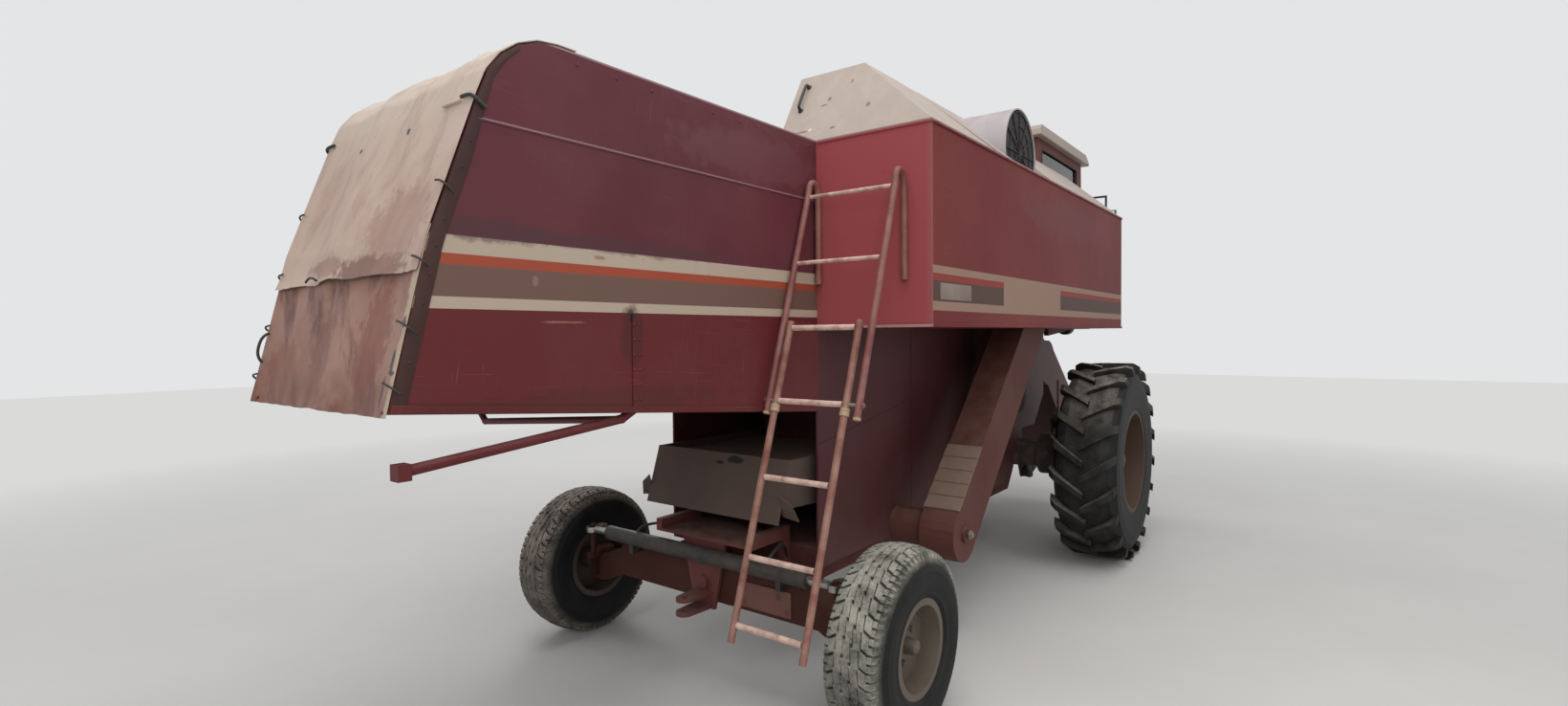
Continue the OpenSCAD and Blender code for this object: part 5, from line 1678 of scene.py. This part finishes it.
@dataclass
class CabTrim:
    """Window rubbers, lamp lenses, mirror glass, door handle and wiper."""

    rear: float = 1.786
    front: float = 3.050
    half: float = 0.620
    top: float = 3.440

    def seal(self, name: str, corners: Sequence[Point], shop: Workshop) -> Piece:
        """Rubber moulding round a pane."""
        points = []
        count = len(corners)
        for i, corner in enumerate(corners):
            before, after = Vector(corners[i - 1]), Vector(corners[(i + 1) % count])
            here = Vector(corner)
            back, on = (before - here).normalized(), (after - here).normalized()
            turn = (here + back * 0.035, here + back * 0.010 + on * 0.010, here + on * 0.035)
            points += [tuple(spot) for spot in turn]
        points += points[:2]
        return Bench.tube(name, points, 6 * MM, shop.plastic, 3, 2)

    def build(self, shop: Workshop) -> None:
        """Makes the cab's trim."""
        h, e = self.half, 0.0012
        panes = {
            "right": [(x, -h - e + 0.002, z) for x, z in rectangle(1.906, 2.950, 2.500, 3.360)],
            "quarter": [(x, h + e - 0.002, z) for x, z in rectangle(1.876, 2.130, 2.500, 3.360)],
            "rear": [(self.rear - e + 0.002, y, z) for y, z in rectangle(-0.42, 0.42, 2.85, 3.36)],
        }
        seals = [self.seal(f"seal_{name}", corners, shop) for name, corners in panes.items()]
        wind = [
            (3.1255, -0.560, 2.155), (3.1255, 0.560, 2.155), (3.1500, 0.560, 2.300), (3.1030, 0.560, 3.378),
            (3.1030, -0.560, 3.378), (3.1500, -0.560, 2.300),
        ]
        seals.append(self.seal("seal_front", wind, shop))
        Bench.group("window_rubbers", seals, "black_plastic")
        door = [(x, h + 0.001, z) for x, z in rectangle(2.276, 2.874, 2.361, 3.314)]
        bow = ((0.002, 2.30), (0.032, 2.305), (0.036, 2.36), (0.032, 2.415), (0.002, 2.42))
        handle = Bench.tube(
            "handle",
            [(2.905, h + out, z) for out, z in bow],
            7 * MM, shop.chrome, 3,
        )
        lock = Bench.turned(
            "lock", ((0.016, 0), (0.016, 0.006), (0.013, 0.009), (0.006, 0.009), (0.005, 0.004)),
            (2.905, h + 0.0002, 2.255), (0, 1, 0), shop.chrome, 20,
        )
        trim = [self.seal("seal_door", door, shop), handle, lock]
        Bench.group("door_trim", trim, "black_plastic", "cab_door_left")
        wiper = Bench.tube(
            "wiper", [(3.124, 0.0, 3.30), (3.152, 0.02, 3.27), (3.150, 0.16, 2.98), (3.155, 0.27, 2.76)],
            4 * MM, shop.plastic, 3, 2,
        )
        blade = Bench.block("blade", (3.1435, 0.12, 2.735), (3.1520, 0.40, 2.752), shop.plastic, 1.5 * MM)
        motor = Bench.block("motor", (3.108, -0.05, 3.285), (3.135, 0.05, 3.345), shop.plastic, 8 * MM)
        Bench.group("wiper", [wiper, blade, motor], "black_plastic")
        lenses = []
        for y in (-0.45, 0.45):
            upper = (self.front + 0.1502, y, self.top - 0.062)
            for at, radius in ((upper, 0.050), ((3.2402, y, 1.850), 0.068)):
                lenses.append(
                    Bench.turned(
                        "lens",
                        (
                            (radius, 0), (radius, 0.004), (radius * 0.92, 0.006), (radius * 0.9, 0.004),
                            (radius * 0.7, 0.008), (radius * 0.4, 0.011), (radius * 0.1, 0.012),
                        ),
                        at, (1, 0, 0), shop.lens, 32,
                    )
                )
        Bench.group("lamp_lenses", lenses, "lamp_glass")
        glasses = []
        for side in Side:
            s = side.value
            back = self.front - 0.0025
            y0, y1 = sorted((s * (h + 0.162), s * (h + 0.318)))
            glasses.append(
                Bench.block("mirror", (back, y0, 2.662), (back + 0.0022, y1, 2.948), shop.mirror, 0.8 * MM)
            )
        Bench.group("mirror_glasses", glasses, "lamp_glass")


@dataclass
class CoverTrim:
    """Flashings of the cream covers, the grab handle and the grip of the tank's lid."""

    rear: float = -1.350
    foot: float = 2.775
    top: float = 3.200
    lean: float = 0.557
    half: float = 1.157
    lid: float = 3.2125
    grip_y: float = -0.350
    slope_top: float = 0.673

    def on_rear(self, y: float, z: float, out: float = 0.0) -> tuple[Point, Point]:
        """Point on the leaning rear panel and the direction out of it."""
        way = Vector((-1, 0, self.lean)).normalized()
        at = Vector((self.rear + self.lean * (z - self.foot), y, z)) + way * out
        return tuple(at), tuple(way)

    def build(self, shop: Workshop) -> None:
        """Makes the trim of the covers."""
        bow = ((2.984, 0), (2.985, 0.022), (2.996, 0.030), (3.116, 0.030), (3.127, 0.022), (3.128, 0))
        grip = [self.on_rear(self.grip_y, z, out)[0] for z, out in bow]
        feet = [standing(*self.on_rear(self.grip_y, z, 0.0003)) for z in (bow[0][0], bow[-1][0])]
        plates = Bench.scatter("grip_feet", rivet(30 * MM, shop.plastic), feet)
        handle = Bench.tube("grip", grip, 8 * MM, shop.plastic, 3)
        Bench.group("cover_fittings", [handle, plates], "black_plastic")
        lid = Bench.tube(
            "lid_grip",
            [
                (0.980, -0.33, self.lid), (0.981, -0.33, self.lid + 0.030), (1.000, -0.33, self.lid + 0.038),
                (1.100, -0.33, self.lid + 0.038), (1.119, -0.33, self.lid + 0.030), (1.120, -0.33, self.lid),
            ],
            7 * MM, shop.plastic, 3,
        )
        Bench.fit(lid, "black_plastic", "hatch_lid")
        slope = Vector((0, -(self.top - self.foot), -(self.half - self.slope_top))).normalized()
        flashings = []
        for x in (0.352, -0.50):
            outline = [
                (x - 0.02, -self.half - 0.0005, self.foot + 0.004),
                (x + 0.02, -self.half - 0.0005, self.foot + 0.004),
                (x + 0.02, -self.slope_top - 0.0008, self.top - 0.002),
                (x - 0.02, -self.slope_top - 0.0008, self.top - 0.002),
            ]
            start = slope * -0.0004
            outline = [tuple(Vector(p) + Vector((0, start.y, -start.z))) for p in outline]
            flashings.append(
                Bench.plate("flashing", outline, (0, slope.y * 0.003, -slope.z * 0.003), shop.cream)
            )
        Bench.group("cover_flashings", flashings, "cover_cream")


@dataclass
class Plumbing:
    """The two pressure hoses of the steering cylinder."""

    def build(self, shop: Workshop) -> None:
        """Makes both hoses."""
        line = (
            (-1.690, 0.460, 0.712), (-1.665, 0.460, 0.738), (-1.600, 0.440, 0.744), (-1.520, 0.400, 0.740),
            (-1.440, 0.360, 0.722), (-1.385, 0.345, 0.670), (-1.362, 0.328, 0.610), (-1.320, 0.326, 0.583),
            (-1.160, 0.326, 0.583),
        )
        pieces = [
            Bench.tube("steer_hose", [(x, side.value * y, z) for x, y, z in line], 8 * MM, shop.plastic, 4)
            for side in Side
        ]
        Bench.group("steering_hoses", pieces, "black_plastic")


@dataclass
class LadderTrim:
    """The rear ladder's upper section with its rounded bends, and the collars where it folds."""

    top: float = 2.470
    fold: float = 1.500
    upper: tuple[float, float] = (-1.030, -0.550)
    lower: tuple[float, float] = (-0.965, -0.592)
    wall: float = -1.350
    leg: float = -1.372
    tube: float = 0.016

    def at(self, y: float, z: float) -> Vector:
        """Point on the middle line of a rail."""
        return Vector((-1.460 - 0.33 * (self.top - z), y, z))

    def collar(self, name: str, y: float, z: float, radius: float, long: float, shop: Workshop) -> Piece:
        """A short sleeve round a rail."""
        way = self.at(0, 1.0) - self.at(0, 0.0)
        foot = self.at(y, z)
        return Bench.turned(
            name,
            (
                (radius - 2 * MM, 0), (radius, 1.5 * MM), (radius, long * 0.45),
                (radius - 0.8 * MM, long * 0.5), (radius, long * 0.55), (radius, long - 1.5 * MM),
                (radius - 2 * MM, long),
            ),
            tuple(foot), tuple(way), shop.collar, 28,
        )

    def upper_section(self, shop: Workshop) -> Piece:
        """Two bent rails with their feet on the wall, two rungs and the pins of the fold."""
        pieces = []
        for number, y in enumerate(self.upper):
            line = [tuple(self.at(y, z)) for z in (self.fold - 0.060, 1.80, 2.10, 2.40, 2.48)]
            bend = ((-1.450, 2.515), (-1.440, 2.540), (-1.416, 2.553), (-1.390, 2.540), (-1.376, 2.510))
            line += [(x, y, z) for x, z in (*bend, (self.leg, 2.46), (self.leg, 2.30), (self.leg, 2.05))]
            pieces.append(Bench.tube(f"rail_{number}", line, self.tube, shop.ladder_top, 4, 4))
            pieces.append(
                Bench.block(
                    "foot", (self.leg, y - 0.010, 2.060), (self.wall - 0.0003, y + 0.010, 2.090),
                    shop.ladder_top,
                )
            )
        for z in (self.top, self.top - 0.330):
            rung = [tuple(self.at(y, z)) for y in (self.upper[0], -0.90, -0.68, self.upper[1])]
            pieces.append(Bench.tube("rung", rung, 0.010, shop.ladder_top, 2, 4))
        for start, end in ((self.upper[0], self.lower[0] + 0.014), (self.lower[1] - 0.014, self.upper[1])):
            pin = [tuple(self.at(y, self.fold)) for y in (start, (start + end) / 2, end)]
            pieces.append(Bench.tube("pin", pin, 0.008, shop.zinc_bolt, 2, 3))
        return Bench.joined("ladder_upper_tubes", pieces)

    def build(self, shop: Workshop) -> None:
        """Makes the upper section and the fittings of both."""
        section = Bench.fit(self.upper_section(shop), "ladder_paint")
        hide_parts("ladder_upper")
        fixed = [self.collar("rail_end", y, 1.4385, 0.0175, 0.012, shop) for y in self.upper]
        head = bolt(22 * MM, shop.ladder_top)
        heads = [
            standing(tuple(self.at(y + way * 0.0162, self.fold)), (0, way, 0))
            for y, way in zip(self.upper, (-1, 1))
        ]
        fixed.append(Bench.scatter("fold_bolts", head, heads))
        Bench.group("ladder_upper_fittings", fixed, "ladder_paint")
        folding = [self.collar("collar", y, 1.452, 0.0215, 0.034, shop) for y in self.lower]
        Bench.group("ladder_collars", folding, "ladder_paint", "ladder_foot")


@dataclass
class BeltDrives:
    """Belt drives on both sides of the body: grooved pulleys on their shafts and the V-belts round them."""

    wall: float = 0.525
    width: float = 0.040
    drives: tuple[tuple[Side, Point, Point, float], ...] = (
        (Side.LEFT, (1.400, 1.350, 0.190), (1.650, 1.650, 0.090), 0.545),
        (Side.LEFT, (0.500, 1.450, 0.120), (-0.350, 1.250, 0.160), 0.545),
        (Side.LEFT, (-0.350, 1.250, 0.110), (-1.000, 0.900, 0.130), 0.600),
        (Side.RIGHT, (1.450, 1.300, 0.170), (1.150, 1.600, 0.090), 0.545),
    )

    def pulley(self, wheel: Point, side: Side, near: float, shop: Workshop) -> list[Piece]:
        """A cast pulley with its hub, web and grooved rim, a key bolt in its hub."""
        x, z, r = wheel
        outline = [
            (0.0256, -0.020), (0.040, -0.020), (0.043, -0.006), (r - 0.032, -0.006), (r - 0.028, -0.019),
            (r - 0.001, -0.020), (r, -0.019), (r, -0.0122), (r - 0.016, -0.0068), (r - 0.016, 0.0068),
            (r, 0.0122), (r, 0.019), (r - 0.001, 0.020), (r - 0.028, 0.019), (r - 0.032, 0.006),
            (0.043, 0.006), (0.040, 0.020), (0.0256, 0.020),
        ]
        s = side.value
        middle = (x, s * (near + self.width / 2), z)
        ring = Bench.spun("pulley", outline, middle, 56, shop.pulley, 30.0)
        end = (x, s * (near + self.width + 0.015), z)
        nut = bolt(34 * MM, shop.hub)
        return [ring, Bench.scatter("shaft_nut", nut, [standing(end, (0, s, 0), 11.0)])]

    def shaft(self, x: float, z: float, side: Side, end: float, shop: Workshop) -> Piece:
        """A turned shaft from the body's wall through its pulleys, with a bearing flange at the wall."""
        s = side.value
        long = end - self.wall
        return Bench.turned(
            "shaft",
            (
                (0.040, 0.0002), (0.040, 0.008), (0.036, 0.012), (0.0250, 0.0125), (0.0250, long - 0.004),
                (0.0215, long - 0.0002),
            ),
            (x, s * self.wall, z), (0, s, 0), shop.hub, 32,
        )

    def belt(self, first: Point, second: Point, side: Side, near: float, shop: Workshop) -> Piece:
        """A V-belt: its section carried round both pulleys and along the two straight runs."""
        a, b = Vector((first[0], first[1])), Vector((second[0], second[1]))
        away = b - a
        tilt = math.atan2(away.y, away.x)
        opening = math.acos((first[2] - second[2]) / away.length)
        arc = 22
        wrap = 2 * math.pi - 2 * opening
        stations = [(a, first[2], tilt + opening + i * wrap / arc) for i in range(arc + 1)]
        stations += [(b, second[2], tilt - opening + i * 2 * opening / arc) for i in range(arc + 1)]
        section = ((-0.0010, -0.0112), (-0.0010, 0.0112), (-0.0125, 0.0072), (-0.0125, -0.0072))
        count = len(stations)
        piece = Bench.added(bpy.ops.mesh.primitive_grid_add, x_subdivisions=count, y_subdivisions=4, size=2)
        middle = side.value * (near + self.width / 2)
        for vertex in piece.data.vertices:
            step = round((vertex.co.x + 1) / 2 * count) % count
            corner = round((vertex.co.y + 1) / 2 * 4) % 4
            centre, radius, angle = stations[step]
            inset, across = section[corner]
            reach = radius + inset
            x, z = centre.x + reach * math.cos(angle), centre.y + reach * math.sin(angle)
            vertex.co = (x, middle + across, z)
        Bench.mode("EDIT")
        Bench.close(0.02 * MM)
        return Bench.settle(piece, "belt", shop.belt, 35.0)

    def build(self, shop: Workshop) -> None:
        """Makes all the drives in place of their CAD solids."""
        metal, rubber, shafts = [], [], {}
        for side, first, second, near in self.drives:
            for wheel in (first, second):
                metal += self.pulley(wheel, side, near, shop)
                key = (wheel[0], wheel[1], side)
                shafts[key] = max(shafts.get(key, 0.0), near + self.width + 0.015)
            rubber.append(self.belt(first, second, side, near, shop))
        metal += [self.shaft(x, z, side, end, shop) for (x, z, side), end in shafts.items()]
        pulleys = Bench.group("belt_pulleys", metal, "drive_iron")
        Bench.group("drive_belts", rubber, "tyre")
        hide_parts("belt_drives")


@dataclass
class RunningTrim:
    """Small fittings of the axle, the elevator, the feeder and the lift cylinders."""

    axle_face: float = -1.6222
    elevator_foot: tuple[float, float] = (-0.510, 0.660)
    elevator_lean: float = 44.0
    feeder_pivot: float = 2.480
    feeder_low: float = 1.315
    feeder_slope: float = 0.91667
    lift_foot: Point = (2.050, 0.440, 0.560)
    lift_tilt: float = 15.83

    def axle(self, shop: Workshop) -> None:
        """Plate bolted to the rear face of the steered axle, with its empty bolt hole."""
        out = self.axle_face - 0.1 * MM
        sleeve = Bench.block(
            "axle_sleeve", (self.axle_face, -0.545, 0.430), (self.axle_face + 7 * MM, -0.222, 0.556),
            shop.sleeve, 1.5 * MM,
        )
        hole = Bench.turned(
            "sleeve_hole", ((0.015, 0), (0.014, 0.0012), (0.0095, 0.0014), (0.009, 0.0004)),
            (out, -0.471, 0.5226), (-1, 0, 0), shop.iron, 20,
        )
        heads = Bench.scatter(
            "sleeve_bolts", bolt(20 * MM, shop.sleeve),
            [
                standing((out, y, z), (-1, 0, 0), 20.0)
                for y, z in ((-0.25, 0.455), (-0.25, 0.530), (-0.52, 0.452))
            ],
        )
        Bench.group("axle_sleeve", [sleeve, hole, heads], "axle_rust")

    def elevator(self, shop: Workshop) -> None:
        """Bolt heads at the foot bearing and down the lapped plates."""
        x, z = self.elevator_foot
        foot = standing((x, -0.9853, z), (0, -1, 0), 12.0)
        head = Bench.scatter("foot_bolt", bolt(38 * MM, shop.zinc_bolt), [foot])
        lean = math.radians(self.elevator_lean)
        way = Vector((math.cos(lean), 0, math.sin(lean)))
        out = Vector((-way.z, 0, way.x))
        start = Vector((x, 0, z)) + out * (0.155 + 0.0125)
        places = []
        for i in (0, 2, 4):
            for y in (-0.940, -0.760):
                at = start + way * (0.040 + 0.092 * i + 0.046) + Vector((0, y, 0)) - out * 0.0002
                places.append(standing(tuple(at), tuple(out)))
        rivets = Bench.scatter("plate_rivets", rivet(9 * MM, shop.zinc_bolt), places)
        Bench.group("elevator_fittings", [head, rivets], "drive_iron")

    def feeder(self, shop: Workshop) -> None:
        """Bolts of the feeder's face frame and rivets along its folded ribs."""
        heads, rivets = [], []
        for side in Side:
            s = side.value
            for z in between(0.42, 0.90, 5):
                heads.append(standing((3.470, s * 0.5402, z), (0, s, 0), 40 * z))
            for x in (2.795, 3.095):
                low = self.feeder_low - self.feeder_slope * (x - self.feeder_pivot)
                for up in between(0.04, 0.27, 5):
                    rivets.append(standing((x, s * 0.5032, low + up), (0, s, 0)))
        pieces = [
            Bench.scatter("frame_bolts", bolt(24 * MM, shop.hub), heads),
            Bench.scatter("rib_rivets", rivet(10 * MM, shop.body), rivets),
        ]
        Bench.group("feeder_fittings", pieces, "drive_iron", "feeder")

    def lift(self, shop: Workshop) -> None:
        """Hose unions of the lift cylinders."""
        tilt = math.radians(self.lift_tilt)
        x, y, z = self.lift_foot
        way = Vector((math.cos(tilt), 0, math.sin(tilt)))
        up = Vector((-math.sin(tilt), 0, math.cos(tilt)))
        places = []
        for side in Side:
            at = Vector((x, side.value * y, z)) + way * 0.115 + up * 0.0445
            places.append(standing(tuple(at), tuple(up)))
        union = Bench.turned(
            "union",
            (
                (0.013, 0), (0.013, 0.010), (0.010, 0.011), (0.010, 0.019), (0.0125, 0.020), (0.0125, 0.032),
                (0.009, 0.034),
            ),
            ORIGIN, UP, shop.zinc_bolt, 6,
        )
        Bench.fit(Bench.scatter("lift_unions", union, places), "rod_steel", "lift_barrel_pair")

    def build(self, shop: Workshop) -> None:
        """Makes every fitting."""
        self.axle(shop)
        self.elevator(shop)
        self.feeder(shop)
        self.lift(shop)


@dataclass
class CheckerPlate:
    """Raised lozenges on the cab platform and on the steps before it."""

    pitch: float = 0.044
    reach: float = 0.014

    def cover(self, x0: float, x1: float, y0: float, y1: float, z: float) -> list[Matrix]:
        """Places of the lozenges on one level rectangle, turned to and fro."""
        columns, rows = max(2, round((x1 - x0) / self.pitch)), max(2, round((y1 - y0) / self.pitch))
        places = []
        for i, x in enumerate(between(x0 + self.reach, x1 - self.reach, columns)):
            for j, y in enumerate(between(y0 + self.reach, y1 - self.reach, rows)):
                turn = Matrix.Rotation(math.radians(45 if (i + j) % 2 else -45), 4, "Z")
                places.append(Matrix.Translation((x, y, z + 0.0002)) @ turn @ Matrix.Diagonal((1, 0.3, 1, 1)))
        return places

    def build(self, shop: Workshop) -> None:
        """Covers the platform's open part and all five steps."""
        lozenge = Bench.turned(
            "lozenge", ((self.reach, 0), (self.reach * 0.94, 0.0009), (self.reach * 0.6, 0.0015)),
            ORIGIN, UP, shop.frame, 8,
        )
        places = self.cover(1.790, 3.130, 0.640, 1.112, 1.890)
        places += self.cover(3.060, 3.146, -0.670, 0.620, 1.890)
        for number in range(5):
            places += self.cover(2.785, 3.105, 1.050, 1.174, 0.560 + 0.270 * number)
        Bench.fit(Bench.scatter("checker_lozenges", lozenge, places), "frame_paint")


def wheel_details() -> list[WheelDetail]:
    """The fittings of all four wheels."""
    kinds = {
        "drive": ((1.860, 1.150, 0.775), (0.032, 0.150, 10, 0.036, 0.110, 0.080, 0.372, 0.2335)),
        "steer": ((-1.550, 1.075, 0.430), (0.032, 0.085, 6, 0.027, 0.060, 0.050, 0.186, 0.145)),
    }
    found = []
    for side in Side:
        for kind, ((x, y, z), sizes) in kinds.items():
            name = f"{kind}_wheel_{side.word}"
            found.append(WheelDetail(name, name, side, (x, side.value * y, z), *sizes))
    return found


@dataclass
class Studio:
    """The floor, the soft light and the photograph's camera."""

    camera_at: Point = (-4.394, -2.615, 1.800)
    right: Point = (0.60316, -0.79758, -0.00822)
    up: Point = (0.02518, 0.00873, 0.99964)
    back: Point = (-0.79722, -0.60315, 0.02534)
    lens: float = 16.68
    sensor: float = 36.0
    floor_size: float = 60.0

    def place_camera(self) -> None:
        """Puts the camera where the photograph was taken from."""
        bpy.ops.object.camera_add(location=self.camera_at)
        camera = bpy.context.object
        turn = Matrix((self.right, self.up, self.back)).transposed()
        camera.rotation_euler = turn.to_euler()
        camera.data.sensor_width = self.sensor
        camera.data.lens = self.lens
        camera.data.clip_end = 200.0
        bpy.context.scene.camera = camera

    def lay_floor(self) -> None:
        """Lays the plain pale floor."""
        bpy.ops.mesh.primitive_plane_add(size=self.floor_size, location=(0, 0, 0))
        floor = bpy.context.object
        floor.name = "floor"
        paint = Painter("pale_floor")
        tree = paint.tree
        grain = paint.speckle(1.5, 0.3, 0.7)
        colour = paint.blend(grain, "CCCAC6", "D2D0CC")
        laid = add_node(tree, "BsdfPrincipled", {"Base Color": colour, "Roughness": 0.9})
        away = paint.line(paint.x, paint.x, paint.times(paint.y, paint.y))
        away = paint.math("SQRT", away)
        path = add_node(tree, "LightPath")
        seen = paint.math("MAXIMUM", path.outputs[0], path.outputs[3])
        # Away from the object the floor turns to the backdrop, so no grey band lies along the horizon
        far = paint.math("MULTIPLY", paint.ramp(away, 4.0, 11.0), seen)
        pale = add_node(tree, "Emission", {"Color": linear("DADAD9"), "Strength": 1.0})
        both = add_node(tree, "MixShader", {0: far, 1: laid.outputs[0], 2: pale.outputs[0]})
        add_node(tree, "OutputMaterial", {"Surface": both.outputs[0]})
        floor.data.materials.append(paint.material)

    def light(self) -> None:
        """Sets the soft light and the pale background."""
        world = bpy.data.worlds.new("studio")
        world.use_nodes = True
        tree = world.node_tree
        tree.nodes.clear()
        path = add_node(tree, "LightPath")
        seen = add_node(
            tree, "Math", {0: path.outputs[0], 1: path.outputs[3]}, operation="MAXIMUM"
        )
        soft = add_node(tree, "Background", {0: linear("F2F4F8"), 1: 0.52})
        pale = add_node(tree, "Background", {0: linear("E4E5E6"), 1: 1.0})
        both = add_node(
            tree, "MixShader", {0: seen.outputs[0], 1: soft.outputs[0], 2: pale.outputs[0]}
        )
        add_node(tree, "OutputWorld", {0: both.outputs[0]})
        bpy.context.scene.world = world
        for name, place, aim, size, power in (
            ("roof_light", (-2.0, -2.0, 8.0), (0, 0, 0), 7.0, 430.0),
            ("side_light", (-7.6, -5.2, 4.5), (-0.5, 0, 1.2), 4.0, 150.0),
            ("far_light", (4.0, 7.0, 5.0), (0, 0, 1.2), 4.0, 150.0),
        ):
            bpy.ops.object.light_add(type="AREA", location=place)
            lamp = bpy.context.object
            lamp.name = name
            lamp.data.size = size
            lamp.data.energy = power
            way = Vector(aim) - Vector(place)
            lamp.rotation_euler = way.to_track_quat("-Z", "Y").to_euler()
        bpy.context.scene.view_settings.view_transform = "Standard"


def main() -> None:
    """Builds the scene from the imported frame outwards."""
    logging.basicConfig(level=logging.INFO, format="%(message)s")
    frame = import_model()
    studio = Studio()
    studio.place_camera()
    studio.lay_floor()
    studio.light()
    shop = Workshop()
    dress_nodes(shop, frame["nodes"])
    curtain = RearCurtain()
    curtain.build(shop)
    HoodTrim().build(shop, curtain)
    for side in Side:
        SteeredTyre(side).build(shop)
    DriverSeat().build(shop)
    SideBoxTrim().build(shop)
    CoverTrim().build(shop)
    CabTrim().build(shop)
    Plumbing().build(shop)
    LadderTrim().build(shop)
    BeltDrives().build(shop)
    RunningTrim().build(shop)
    CheckerPlate().build(shop)
    for wheel in wheel_details():
        wheel.build(shop)


if __name__ == "__main__":
    main()
